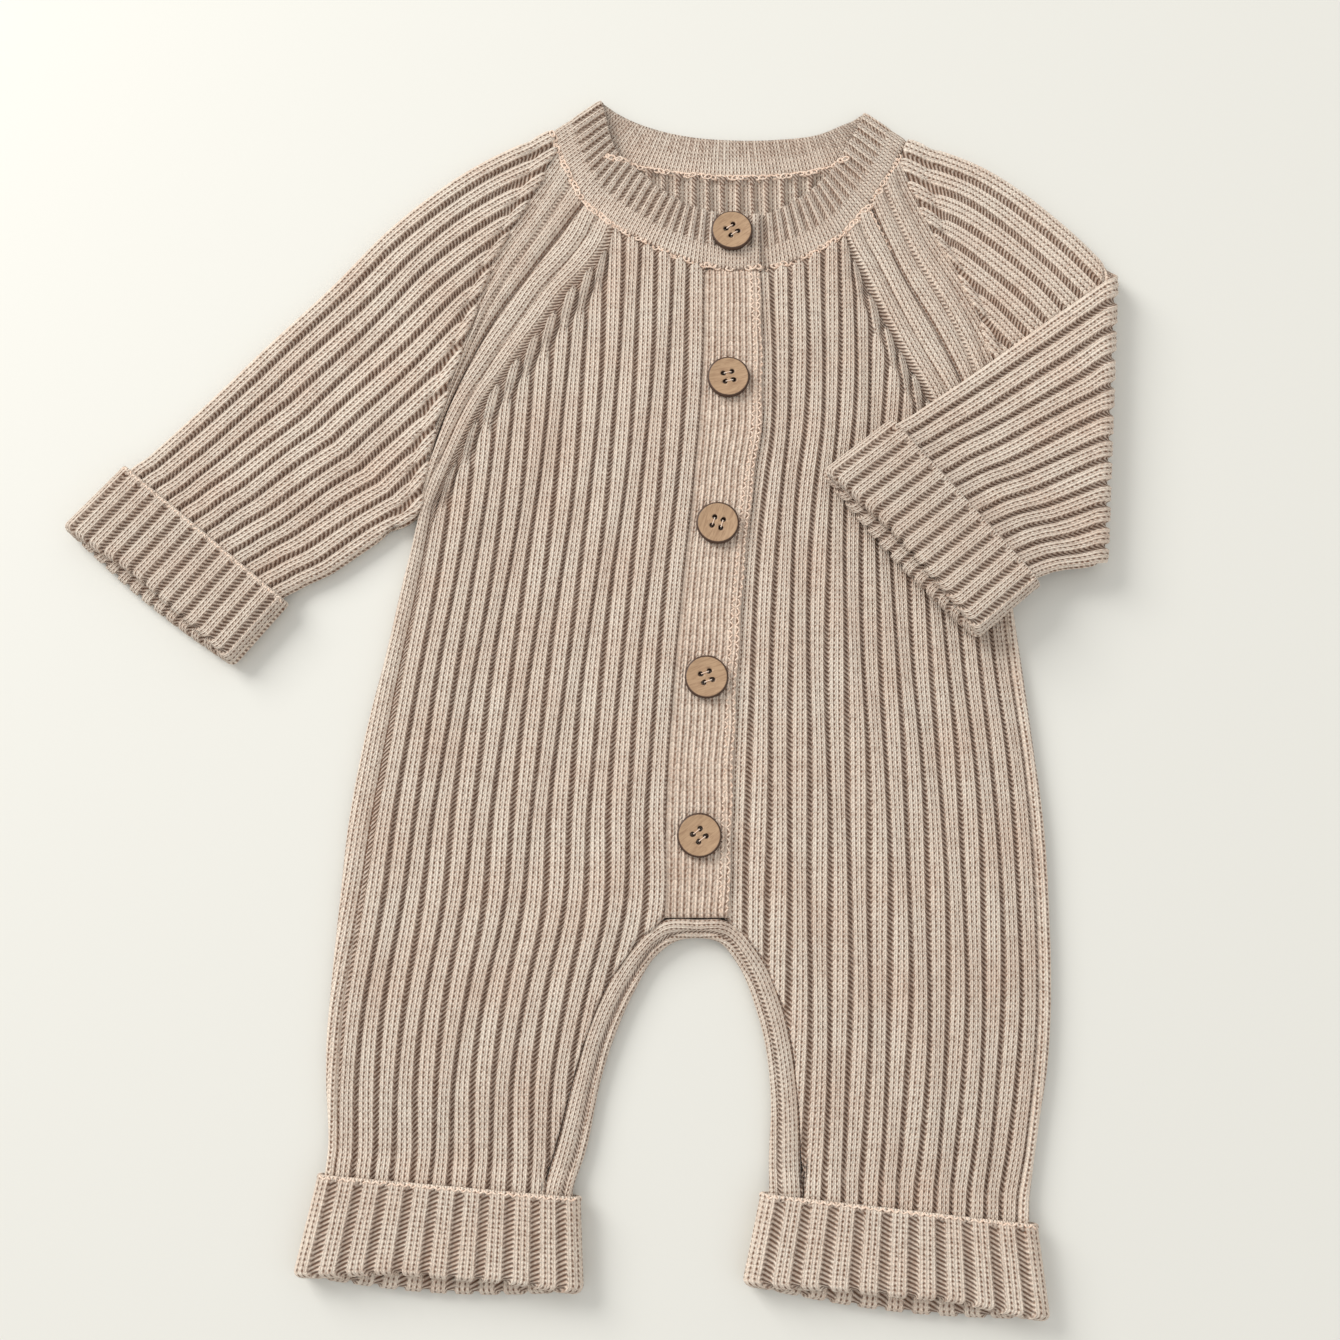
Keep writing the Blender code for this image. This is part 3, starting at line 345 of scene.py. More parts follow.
def addGrid(sheet, base, relief, uv, depth, purl, outward, closed=False, warp=None, lining=3):
    # One closed shell: the outer face of a grid with its relief, an inner face and the rims between.
    # The inner face takes every row and column when lining is 1, else fewer, lying under the lowest relief.
    rows, cols = base.shape[:2]
    across = np.gradient(base, axis=1)
    if closed:
        across[:, 0] = across[:, -1] = (base[:, 1] - base[:, -2]) / 2
    along = np.gradient(base, axis=0)
    normal = np.cross(across, along)
    size = np.linalg.norm(normal, axis=2, keepdims=True)
    normal = normal / np.maximum(size, 1e-9)
    sheet["area"] += float(size.sum())
    if outward == "ring":
        sign = np.sign((normal * (base - base.mean(axis=1, keepdims=True))).sum())
    else:
        sign = np.sign(normal[..., 2].mean() * outward)
    normal = normal * sign
    outer = base + normal * relief[..., None]
    inner = outer - normal * cloth["wall"]
    if lining > 1:
        inner = base + normal * (lowest(relief, lining) - cloth["thinnest"])[..., None]
    rowPick = np.unique(np.append(np.arange(0, rows, lining), rows - 1))
    colPick = np.unique(np.append(np.arange(0, cols, lining), cols - 1))
    inner = inner[rowPick][:, colPick]
    if warp:
        outer, inner = warp(outer), warp(inner)
    live = cols - closed
    liveIn = len(colPick) - closed
    start = sheet["count"]
    startIn = start + rows * live
    sheet["verts"] += [outer[:, :live].reshape(-1, 3), inner[:, :liveIn].reshape(-1, 3)]
    sheet["count"] = startIn + len(rowPick) * liveIn

    def outside(row, col):
        return np.stack((start + row * live + col % live, row * cols + col), axis=-1)

    def within(j, i):
        return np.stack((startIn + j * liveIn + i % liveIn, rowPick[j] * cols + colPick[i]), axis=-1)

    def quads(count, other, corner, order):
        cells = np.meshgrid(np.arange(count - 1), np.arange(other - 1), indexing="ij")
        j, i = (v.ravel() for v in cells)
        corners = [corner(j, i), corner(j, i + 1), corner(j + 1, i + 1), corner(j + 1, i)]
        return list(np.stack([corners[k] for k in order], axis=1))

    polygons = quads(rows, cols, outside, (0, 1, 2, 3))
    polygons += quads(len(rowPick), len(colPick), within, (0, 3, 2, 1))
    for k in range(len(colPick) - 1):
        run = np.arange(colPick[k], colPick[k + 1] + 1)
        for row, pick, back in ((0, 0, True), (rows - 1, len(rowPick) - 1, False)):
            rim = np.vstack((outside(np.full_like(run, row), run),
                             within(pick, k + 1)[None], within(pick, k)[None]))
            polygons.append(rim[::-1] if back else rim)
    for k in range(0 if closed else len(rowPick) - 1):
        run = np.arange(rowPick[k], rowPick[k + 1] + 1)
        for col, pick, back in ((0, 0, False), (cols - 1, len(colPick) - 1, True)):
            rim = np.vstack((outside(run, np.full_like(run, col)),
                             within(k + 1, pick)[None], within(k, pick)[None]))
            polygons.append(rim[::-1] if back else rim)
    if sign < 0:
        polygons = [polygon[::-1] for polygon in polygons]
    sheet["faces"] += [polygon[:, 0].tolist() for polygon in polygons]
    spots = np.concatenate(polygons)[:, 1]
    # depth goes to Tone's x, where the knit paints shade into the grooves; purl goes to Tone's y
    tone = np.stack([np.broadcast_to(value, base.shape[:2]) for value in (depth, purl)], axis=-1)
    sheet["uv"].append(uv.reshape(-1, 2)[spots])
    sheet["tone"].append(tone.reshape(-1, 2)[spots])


def makeObject(name, sheet, material):
    verts = (np.concatenate(sheet["verts"]) + shift) * mm
    mesh = bpy.data.meshes.new(name)
    mesh.from_pydata(verts.tolist(), [], sheet["faces"])
    for layerName, key in (("UVMap", "uv"), ("Tone", "tone")):
        layer = mesh.uv_layers.new(name=layerName)
        layer.data.foreach_set("uv", np.concatenate(sheet[key]).astype(np.float32).ravel())
    mesh.shade_smooth()
    mesh.materials.append(material)
    piece = bpy.data.objects.new(name, mesh)
    bpy.context.scene.collection.objects.link(piece)
    triangles = sum(len(face) - 2 for face in sheet["faces"])
    print(f"{name}: {triangles} triangles, flat area {sheet['area'] * 1e-6:.4f} m2")
    return piece


def stitchUv(wales, along):
    # The knit's UV map, counted in wales and courses.
    return np.stack(np.broadcast_arrays(wales, along / cloth["courseHeight"]), axis=-1)


def ribUv(s, along, form=ribForm):
    return stitchUv(4.0 * np.floor(s) + waleOf(s % 1.0, form), along)


def cutColumns(xOf, s, ys, outside, fallback):
    # The first y along ys at which each column leaves the piece.
    x = xOf(s[None, :], ys[:, None])
    out = outside(x, ys[:, None])
    first = np.argmax(out, axis=0)
    found = out.any(axis=0)
    return np.where(found, ys[first], fallback)


def rowSpread(count, topSteps, total):
    # Distances from the upper end: close together near it, then even.
    steps = np.asarray(topSteps)[:, None] * np.minimum(1.0, total[None, :] / (2.5 * topSteps[-1]))
    rest = np.linspace(0.0, 1.0, count - len(topSteps) + 1)[1:, None]
    return np.concatenate((steps, steps[-1] + (total[None, :] - steps[-1]) * rest))


# ---- Knit material ----

class Wire:
    # A shader value that takes part in sums as if it were a number.
    def __init__(self, tree, socket):
        self.tree = tree
        self.socket = socket

    def node(self, kind, inputs=(), output=0, **settings):
        made = self.tree.nodes.new(kind)
        for key, value in settings.items():
            setattr(made, key, value)
        for key, value in dict(inputs).items():
            if isinstance(value, Wire):
                self.tree.links.new(value.socket, made.inputs[key])
            else:
                made.inputs[key].default_value = value
        return Wire(self.tree, made.outputs[output])

    def math(self, operation, other=0.0, clamp=False):
        return self.node("ShaderNodeMath", {0: self, 1: other}, operation=operation, use_clamp=clamp)

    def __add__(self, other): return self.math("ADD", other)
    def __radd__(self, other): return self.math("ADD", other)
    def __sub__(self, other): return self.math("SUBTRACT", other)
    def __rsub__(self, other): return self * -1.0 + other
    def __mul__(self, other): return self.math("MULTIPLY", other)
    def __rmul__(self, other): return self.math("MULTIPLY", other)
    def __truediv__(self, other): return self.math("DIVIDE", other)
    def __pow__(self, other): return self.math("POWER", other)
    def __abs__(self): return self.math("ABSOLUTE")

    def fract(self): return self.math("FRACT")
    def clamped(self): return self.math("ADD", 0.0, clamp=True)
    def objectSpace(self): return Wire(self.tree, self.socket.node.outputs["Object"])
    def uvMap(self, name): return self.node("ShaderNodeUVMap", uv_map=name)

    def noise(self, scale, detail, **more):
        # Noise read at the place that this value gives.
        return self.node("ShaderNodeTexNoise", {"Vector": self, "Scale": scale, "Detail": detail, **more})

    def split(self):
        # The first two parts of a vector.
        first = self.node("ShaderNodeSeparateXYZ", {0: self})
        return first, Wire(self.tree, first.socket.node.outputs[1])


def mixColour(a, b, factor):
    inputs = {"Factor": factor, 6: a, 7: b}
    return factor.node("ShaderNodeMix", inputs, 2, data_type="RGBA")


def startMaterial(name):
    material = bpy.data.materials.new(name)
    material.use_nodes = True
    tree = material.node_tree
    shader = tree.nodes["Principled BSDF"]
    coordinates = Wire(tree, None).node("ShaderNodeTexCoord")
    return material, tree, shader, coordinates


def finishMaterial(tree, shader, colour, roughness, height, strength, distance):
    tree.links.new(colour.socket, shader.inputs["Base Color"])
    tree.links.new(roughness.socket, shader.inputs["Roughness"])
    bump = height.node("ShaderNodeBump", {"Strength": strength, "Distance": distance, "Height": height})
    tree.links.new(bump.socket, shader.inputs["Normal"])


knitLook = {
    "yarn": (0.820, 0.590, 0.455, 1.0),
    "light": (1.000, 0.888, 0.758, 1.0),
    # the next colour is painted shade in grooves and between stitches, and also the colour of random darker
    # flecks
    "shadeAndFleck": (0.205, 0.100, 0.056, 1.0),
    "paleness": 0.72,  # how much of the yarn is light
    # painted shade in the gaps between wales and at the loop ends between courses
    "waleGapShade": 1.2,
    "dashes": 0.92,  # how far the painted shade lines between wales break up, stitch by stitch
    "notchShadeAmount": 0.10,
    # how much painted shade the grooves take
    "grooveShade": 0.48,
    "purlShade": 0.7,
    "fleck": 0.4,
    "stitchFleck": 0.34,
    "sheen": 0.25,
    "stitchDepth": 0.0011,
}


def knitMaterial(name, look):
    # Columns of V stitches from the UV map (x in wales, y in courses); purl rows where Tone's y is 1; painted
    # shade in the grooves where Tone's x is high and in the gaps between stitches.
    material, tree, shader, coordinates = startMaterial(name)
    stitchMap = coordinates.uvMap("UVMap")
    wales, courses = stitchMap.split()
    depth, purl = coordinates.uvMap("Tone").split()
    wobble = stitchMap.noise(0.6, 2.0) - 0.5
    across = abs((wales + wobble * 0.2 + 0.5).fract() - 0.5) * 2.0
    lean = across * 0.42
    loop = abs((courses + wobble * 0.5 + lean).fract() - 0.5) * 2.0
    leg = (1.0 - abs(across - 0.48) * 1.6).clamped()
    plain = leg ** 0.7 * (1.0 - loop ** 2.5 * 0.5)
    broken = (stitchMap.noise(0.9, 1.0) * 1.4 + 0.45).clamped()
    dashes = loop * look["dashes"] + (1.0 - look["dashes"])
    # seam is painted shade in the gaps between wales, broken into dashes; the next line paints shade at the
    # loop ends
    seam = ((across - 0.52) * 4.0).clamped() * dashes * broken * look["waleGapShade"]
    notchShade = ((loop - 0.62) * 2.6).clamped() * look["notchShadeAmount"]
    stroke = abs((courses + wales * 0.9).fract() - 0.5) * 2.0
    turned = 1.0 - ((stroke - 0.25) * 1.5).clamped() ** 1.3
    stitches = plain + (turned - plain) * purl
    # all the painted shade between stitches, in plain and in purl knit
    gapShade = seam.math("MAXIMUM", notchShade) * (1.0 - purl) + (1.0 - turned) * purl * look["purlShade"]
    fibres = stitchMap.noise(2.3, 4.0, Roughness=0.75)
    patches = stitchMap.noise(0.07, 3.0)
    column, row = (wales + 0.5).math("FLOOR"), (courses + lean).math("FLOOR")
    cell = coordinates.node("ShaderNodeCombineXYZ", {0: column, 1: row})
    cellTone = coordinates.node("ShaderNodeTexWhiteNoise", {"Vector": cell}, noise_dimensions="2D")
    height = stitches + fibres * 0.5
    lift = ((fibres - 0.5) * 3.0 + (patches - 0.5) * 1.2 + look["paleness"]).clamped()
    yarn = mixColour(look["yarn"], look["light"], lift)
    # dark mixes painted shade, in the grooves and in the gaps between stitches, with random flecks that
    # darken some stitches
    flecks = (0.5 - fibres) * look["fleck"] + (cellTone - 0.6) * look["stitchFleck"] * (1.0 - purl * 0.5)
    dark = (depth * look["grooveShade"] + gapShade + flecks).clamped()
    colour = mixColour(yarn, look["shadeAndFleck"], dark)
    roughness = fibres * 0.1 + 0.86
    shader.inputs["Sheen Weight"].default_value = look["sheen"]
    shader.inputs["Sheen Roughness"].default_value = 0.5
    shader.inputs["Sheen Tint"].default_value = (1.0, 0.94, 0.86, 1.0)
    shader.inputs["Specular IOR Level"].default_value = 0.2
    finishMaterial(tree, shader, colour, roughness, height, 0.9, look["stitchDepth"])
    return material


knit = knitMaterial("wide_rib_knit", knitLook)


# ---- Fronts ----

fronts = {
    "front_right": {
        "ribs": 15, "mirror": 1.0, "rowCount": 122, "lean": 0.0,
        "inner": [(15.4, 178.0), (14.2, 130.0), (10.4, 80.0), (5.4, 34.0), (1.6, -10.0), (-1.2, -58.0),
                  (-2.0, -102.0), (-9.0, -130.0), (-16.0, -165.0), (-17.0, -200.0), (-17.0, -240.0)],
        "gutter": [(-91.0, 195.0), (-95.5, 130.0), (-100.0, 72.0), (-105.0, 34.0), (-109.8, 5.0),
                   (-115.0, -30.0), (-119.5, -62.0), (-123.0, -92.0), (-126.0, -114.0),
                   (-129.0, -139.0), (-130.0, -164.0), (-129.6, -197.0), (-131.0, -216.0), (-134.0, -240.0)],
        "raglanGutter": [(-24.0, 197.6), (-30.0, 184.0), (-36.0, 176.0), (-46.0, 165.0), (-54.0, 153.0),
                         (-64.0, 139.0), (-71.0, 129.0), (-79.0, 118.0), (-84.0, 109.0), (-92.5, 90.0),
                         (-100.0, 72.0)],
        "neckSeam": [(-24.0, 197.6), (-12.0, 190.5), (2.0, 184.0), (15.0, 178.5), (30.0, 177.0)],
        "seam": raglanRight, "outline": outlineRight, "inside": insideSeamRight, "hem": -219.0,
    },
    "front_left": {
        "ribs": 16, "mirror": -1.0, "rowCount": 122, "lean": 0.126,
        "inner": [(37.0, 178.0), (37.8, 130.0), (36.8, 105.0), (33.4, 80.0), (28.4, 34.0), (25.4, -10.0),
                  (23.2, -58.0), (21.6, -102.0), (21.0, -150.0), (20.0, -200.0), (20.0, -250.0)],
        "gutter": [(147.0, 200.0), (142.0, 130.0), (136.5, 66.0), (139.0, 25.0), (141.0, -1.0),
                   (144.6, -37.0), (146.4, -70.0), (146.8, -101.0), (145.4, -141.0), (142.6, -165.0),
                   (138.6, -190.0), (133.4, -217.0), (134.0, -250.0)],
        "raglanGutter": [(76.5, 194.5), (78.0, 189.0), (85.0, 174.0), (94.0, 153.0), (102.0, 136.0),
                         (109.0, 123.0), (118.0, 104.0), (127.0, 86.0), (136.5, 66.0)],
        "neckSeam": [(76.5, 194.5), (67.0, 188.0), (59.0, 183.0), (47.0, 179.0), (36.0, 177.0),
                     (20.0, 177.0)],
        "seam": raglanLeft, "outline": outlineLeft, "inside": insideSeamLeft, "hem": -232.0,
    },
}


frontLook = {
    "endSteps": (0, 0.5, 1.1, 1.8, 2.6, 3.6, 4.8, 6.1, 7.4, 8.7, 10.2, 12.0),  # rows near a rib's end
    "bendLength": 16.0,       # over which a rib's end leans in under the raglan band
    "bendBy": (3.7, 5.4),
    "bluntness": 0.6,         # 1 ends each rib square to its own middle
    "bandColumns": 34,
    "raglanRows": 90,
    "sideRows": 110,
    "underlap": 1.7,          # how far the band reaches under the upright ribs
    "raglanRibs": ((0.15, 0.53), (0.57, 0.97)),  # the band's ribs across its width, along the raglan
    "sideRibs": ((0.26, 1.25), (1.25, 1.6)),     # and along the side
    "ribLow": -0.85,
    "ribRise": 1.6,
}


def frontHeight(x, y, mirror):
    return crownOf(x, y, mirror) + legLift(x, y) + soften(x, y)


def addUprightRibs(sheet, spec, look):
    mirror, ribs = spec["mirror"], spec["ribs"]
    s = ribColumns(0.0, ribs)

    def xOf(q, y):
        near, far = xAt(spec["inner"], y), xAt(spec["gutter"], y)
        share = q / ribs
        share = share * (1.0 + spec["lean"]) - spec["lean"] * share ** 2
        sway = 0.35 * np.sin(y / 19.0 + q * 2.3) + 0.25 * np.sin(y / 43.0 + q * 1.1)
        return near + (far - near) * share + sway * np.sin(math.pi * q / ribs) ** 0.3

    upper = np.array(spec["raglanGutter"] + spec["neckSeam"][1:])
    upper = upper[np.argsort(upper[:, 0])]
    top = cutColumns(xOf, s, np.arange(60.0, 215.0, 0.25),
                     lambda x, y: y > np.interp(x, upper[:, 0], upper[:, 1]), 200.0)
    inside = np.array(spec["inside"])[::-1]

    def beyondSeam(x, y):
        edge = np.interp(y, inside[:, 1], inside[:, 0])
        return ((x - edge) * mirror > 0.0) & (y < inside[-1, 1])

    bottom = cutColumns(xOf, s, np.arange(-95.0, -245.0, -0.25), beyondSeam, spec["hem"])
    bottom = np.maximum(bottom, spec["hem"])
    fall = rowSpread(spec["rowCount"], np.array(look["endSteps"]), top - bottom)
    y = top[None, :] - fall
    x = xOf(s[None, :], y)
    onRaglan = between((spec["raglanGutter"][0][0] - x[0]) * mirror, -1.0, 10.0)[None, :]
    bend = onRaglan * np.clip(1.0 - fall / look["bendLength"], 0.0, 1.0) ** 1.4
    x = x + bend * look["bendBy"][0] * mirror
    y = y + bend * look["bendBy"][1]
    centreTop = np.interp(np.floor(s) + 0.5, s, top)
    level = np.maximum(fall + look["bluntness"] * (centreTop - top)[None, :] * onRaglan, 0.0)
    atHem = np.minimum(fall * 40.0, y - bottom[None, :] + 1.5)
    relief, depth = ribs3(s[None, :] + 0.0 * y, level, leafTip, onRaglan)
    hemRelief, hemDepth = ribs3(s[None, :] + 0.0 * y, np.minimum(atHem, fall + 20.0 * onRaglan), plainTip)
    relief, depth = np.minimum(relief, hemRelief + 0.6 * onRaglan), np.maximum(depth, hemDepth)
    base = np.stack((x, y, frontHeight(x, y, mirror)), axis=-1)
    addGrid(sheet, base, relief, ribUv(s[None, :], y), depth, (depth > 0.5) * 0.9, 1.0)


def addSeamBand(sheet, spec, look):
    # Two ribs along the raglan seam that run on down the side and round its edge.
    mirror, lower = spec["mirror"], look["sideRows"]
    raglanIn = path(spec["raglanGutter"][::-1], look["raglanRows"])
    raglanOut = path(spec["seam"], look["raglanRows"])
    sideIn = np.array([(xAt(spec["gutter"], v), v) for v in np.linspace(spec["hem"], raglanIn[0, 1], lower)])
    sideOut = path([p for p in spec["outline"] if p[1] > spec["hem"] - 4.0], lower)
    inLine = np.vstack((sideIn[:-1], raglanIn))
    outLine = np.vstack((sideOut[:-1], raglanOut))
    inLine[:, 0] += look["underlap"] * mirror
    past = lengths(outLine) - lengths(outLine)[lower - 1]
    weight = between(past, -20.0, 40.0)[:, None]
    t = np.linspace(0.0, 1.0, look["bandColumns"])[None, :]
    width = np.linalg.norm(inLine - outLine, axis=1)[:, None]
    arc = (1.0 - t) * (width + 1.3 * (1.0 - weight)) + 0.08 * np.maximum(past, 0.0)[:, None]
    d, rise, _ = rolled(arc, cloth["rollIn"], 2.7, 3.0)
    share = np.clip(d / np.maximum(width, d[:, :1]), 0.0, 1.0)
    share = share * (1.0 - weight) + (1.0 - t) * weight
    plan = outLine[:, None] + (inLine - outLine)[:, None] * share[..., None]
    x, y = plan[..., 0], plan[..., 1]
    z = cloth["mid"] + (frontHeight(x, y, mirror) - cloth["mid"] - legLift(x, y)) * rise + legLift(x, y)
    relief = np.full(x.shape, look["ribLow"])
    for (a0, a1), (b0, b1) in zip(look["raglanRibs"], look["sideRibs"]):
        lo, hi = a0 * weight + b0 * (1 - weight), a1 * weight + b1 * (1 - weight)
        bump = np.sin(math.pi * np.clip((t - lo) / (hi - lo), 0.0, 1.0)) ** 0.55
        relief = np.maximum(relief, look["ribLow"] + look["ribRise"] * bump)
    seamDip = between(t, 0.95, 1.0) * weight
    tuck = 1.0 - between(t, 0.0, 0.07)
    relief = relief - 0.7 * seamDip - 0.8 * tuck
    # painted shade in the grooves, strongest along the raglan seam line and where the band tucks under the
    # upright ribs
    depth = np.clip(-relief - 0.1, 0.0, 0.75) + 0.45 * seamDip
    uv = stitchUv(t * width / cloth["waleWidth"], lengths(outLine)[:, None])
    addGrid(sheet, np.stack((x, y, z), axis=-1), relief, uv, depth, (t < 0.2) * 1.0, 1.0)


def buildFront(name, spec, look):
    sheet = newSheet()
    addUprightRibs(sheet, spec, look)
    addSeamBand(sheet, spec, look)
    return makeObject(f"{name}_knit", sheet, knit)


made = {}
for name, spec in fronts.items():
    made[name] = buildFront(name, spec, frontLook)
print("fronts done")


# ---- Back ----

backLook = {"ribs": 36, "rowCount": 112, "hemRight": -219.0, "hemLeft": -232.0, "edgeHalf": 2.0,
            "endSteps": (0, 0.6, 1.4, 2.4, 3.6, 5.0, 7.0, 9.0), "neckLine": 229.0}


def buildBack(look):
    sheet = newSheet()
    ribs = look["ribs"]
    right = [(-99.0, 240.0), (-103.0, 140.0)] + outlineRight[::-1]
    left = [(133.0, 240.0), (137.0, 140.0)] + outlineLeft[::-1]
    extra = rolled(np.zeros(1), cloth["rollIn"], look["edgeHalf"], 3.0)[2]

    def place(q, y):
        near, far = xAt(right, y), xAt(left, y)
        whole = far - near + 2 * extra
        arc = q / ribs * whole
        d, rise, _ = rolled(np.minimum(arc, whole - arc), cloth["rollIn"], look["edgeHalf"], 3.0)
        sway = 0.35 * np.sin(y / 23.0 + q * 2.1) * np.minimum(1.0, d / 20.0)
        return np.where(arc < whole / 2, near + d, far - d) + sway, rise

    s = ribColumns(0.0, ribs, coarsePhases)
    neck = [(n[0], n[1]) for n in neckRows[13:18]]
    upper = np.array(sorted([*backRaglanRight, *neck[1:-1], *backRaglanLeft]))
    seamR, seamL = np.array(insideSeamRight)[::-1], np.array(insideSeamLeft)[::-1]

    def pastTop(x, y):
        return y > np.minimum(np.interp(x, upper[:, 0], upper[:, 1]), look["neckLine"])

    top = cutColumns(lambda q, y: place(q, y)[0], s, np.arange(60.0, 232.0, 0.25), pastTop, 64.0)

    def inGap(x, y):
        rightEdge = np.interp(y, seamR[:, 1], seamR[:, 0])
        leftEdge = np.interp(y, seamL[:, 1], seamL[:, 0])
        return (y < -103.0) & (x > rightEdge) & (x < leftEdge)

    hem = np.where(s < ribs / 2, look["hemRight"], look["hemLeft"])
    bottom = cutColumns(lambda q, y: place(q, y)[0], s, np.arange(-95.0, -240.0, -0.25), inGap, -400.0)
    bottom = np.maximum(bottom, hem)
    fall = rowSpread(look["rowCount"], np.array(look["endSteps"]), top - bottom)
    y = top[None, :] - fall
    x, rise = place(s[None, :], y)
    relief, depth = ribs3(s[None, :] + 0.0 * y, np.minimum(fall, y - bottom[None, :] + 1.5))
    z = cloth["mid"] + (cloth["rest"] - cloth["mid"]) * rise + legLift(x, y)
    base = np.stack((x, y, z), axis=-1)
    addGrid(sheet, base, relief, ribUv(s[None, :], y), depth, (depth > 0.5) * 0.8, -1.0, lining=1)
    return makeObject("back_knit", sheet, knit)


made["back"] = buildBack(backLook)
print("back done")


# ---- Sleeves ----

def mirrored(points, offset=2 * elbow["mirrorX"]):
    return [(offset - p[0], *p[1:]) for p in points]


# The left sleeve mirrors the right one, stretched past its cuff to reach its own underarm.
underarmLeft = (139.0, 66.0)
leftUpper = mirrored(sleeveUpper)[:-1] + [(106.2, 240.4)]
leftLower = mirrored(sleeveLower)
cuffX = leftLower[3][0]
stretch = (cuffX - underarmLeft[0]) / (cuffX - leftLower[-1][0])
stretched = [(cuffX + (x - cuffX) * stretch, y) for x, y in leftLower[3:-1]]
leftLower = [*leftLower[:3], *stretched, underarmLeft]

sleeves = {
    "sleeve_right": {
        "mirror": 1.0, "ribs": 12, "rowCount": 92, "start": 8.0,
        "upper": sleeveUpper, "lower": sleeveLower, "seam": raglanRight, "backSeam": backRaglanRight,
        "ends": [(-106.5, 66.0), (-104.5, 85.0), (-101.5, 102.0), (-98.0, 113.0), (-95.0, 125.0),
                 (-91.0, 138.0), (-87.0, 151.0), (-82.0, 169.0), (-75.0, 187.0), (-69.0, 198.0),
                 (-65.0, 205.0), (-57.0, 220.0), (-50.5, 236.0)],
        "neckEnd": (-53.4, 244.6), "backNeck": [(-47.0, 240.0), (-36.0, 233.8)],
    },
    "sleeve_left": {
        "mirror": -1.0, "ribs": 12, "rowCount": 100, "start": 8.0,
        "upper": leftUpper, "lower": leftLower, "seam": raglanLeft, "backSeam": backRaglanLeft,
        "ends": [(139.0, 68.0), (141.0, 90.0), (141.0, 110.0), (139.5, 135.0), (136.0, 151.0),
                 (130.0, 166.0), (124.0, 180.0), (116.0, 194.0), (110.0, 208.0), (105.0, 221.0),
                 (103.3, 232.0)],
        "neckEnd": (106.2, 240.4), "backNeck": [(100.5, 237.4), (91.0, 234.0)],
    },
}


sleeveLook = {
    "points": 900,            # along each edge of the flat sleeve
    "smoothing": 61,          # of those, over which the sleeve's direction is averaged
    "edgeHalf": 2.4,
    "pastSeam": 2.5,          # how far the upper edge runs on under the neckband
    "stations": 1200,
    "endSteps": (0, 0.5, 1.1, 1.8, 2.6, 3.6, 4.8, 6.1, 7.4, 8.8, 10.4, 12.4),
    "bendLength": 14.0,
    "bendBy": (2.052, 2.952),
    "seamRows": 110,
    "seamColumns": 30,
    "seamRibs": ((0.06, 0.38), (0.44, 0.76)),
}


def sleeveLift(x, y, mirror):
    flat = x if mirror > 0 else 2 * elbow["mirrorX"] - x
    ax, ay, bx, by = *sleeveUpper[2], *sleeveLower[2]
    across = np.array((bx - ax, by - ay)) / math.hypot(bx - ax, by - ay)
    past = (flat - ax) * across[1] - (y - ay) * across[0]
    return cloth["layer"] * smooth(past / hemRamp["length"] + 1.0) * mirror


def foldOver(points):
    # Bends points of the flat left sleeve over its elbow, back on to the chest.
    start, end = np.array(elbow["start"]), np.array(elbow["end"])
    along = (end - start) / np.linalg.norm(end - start)
    normal = np.array((-along[1], along[0]))
    past = (points[..., :2] - start) @ normal
    radius = elbow["radius"] + cloth["mid"] - points[..., 2]
    foot = points[..., :2] - past[..., None] * normal
    angle = np.clip(past / elbow["radius"], 0.0, math.pi)
    beyond = np.maximum(past - math.pi * elbow["radius"], 0.0)
    reach = np.where(past < 0.0, past, radius * np.sin(angle) - beyond)
    height = np.where(past < 0.0, points[..., 2], cloth["mid"] + elbow["radius"] - radius * np.cos(angle))
    return np.concatenate((foot + reach[..., None] * normal, height[..., None]), axis=-1)


def backEnds(spec):
    # Where the sleeve's ribs end at the back: a band's width from the seam, narrowing to the neck.
    seam = path(spec["backSeam"], 60)
    step = np.gradient(seam, axis=0)
    step /= np.linalg.norm(step, axis=1, keepdims=True)
    outward = np.column_stack((-step[:, 1], step[:, 0])) * spec["mirror"]
    width = 1.5 + 17.0 * smooth(lengths(seam) / 110.0)
    return seam + outward * width[:, None]


def sleeveWidths(spec, look):
    # The upper edge, how far along it each point is, the direction across the sleeve, and its width there.
    count = look["points"]
    neckEnd, before = np.array(spec["upper"][-1]), np.array(spec["upper"][-2])
    tip = neckEnd + (neckEnd - before) * look["pastSeam"] / np.linalg.norm(neckEnd - before)
    upper = path([*spec["upper"], tuple(tip)], count)
    along = lengths(upper)
    step = np.gradient(upper, axis=0)
    step /= np.linalg.norm(step, axis=1, keepdims=True)
    kernel = np.ones(look["smoothing"]) / look["smoothing"]
    padded = np.pad(step, ((len(kernel) // 2, len(kernel) // 2), (0, 0)), mode="edge")
    step = np.column_stack([np.convolve(padded[:, k], kernel, "valid") for k in (0, 1)])
    inward = np.column_stack((step[:, 1], -step[:, 0])) * spec["mirror"]
    offset = path(spec["lower"], count)[None] - upper[:, None]
    slip = np.abs((offset * step[:, None]).sum(axis=2))
    hit = np.argmin(slip, axis=1)
    each = np.arange(count)
    width = (offset[each, hit] * inward).sum(axis=1)
    valid = np.nonzero((slip[each, hit] < 1.0) & (hit < count - 2))[0]
    first, last = valid[0], valid[-1]
    width[last:] = width[last] + 0.02 * (along[last:] - along[last])
    width[:first] = width[first]
    return upper, along, inward, width, along[last]


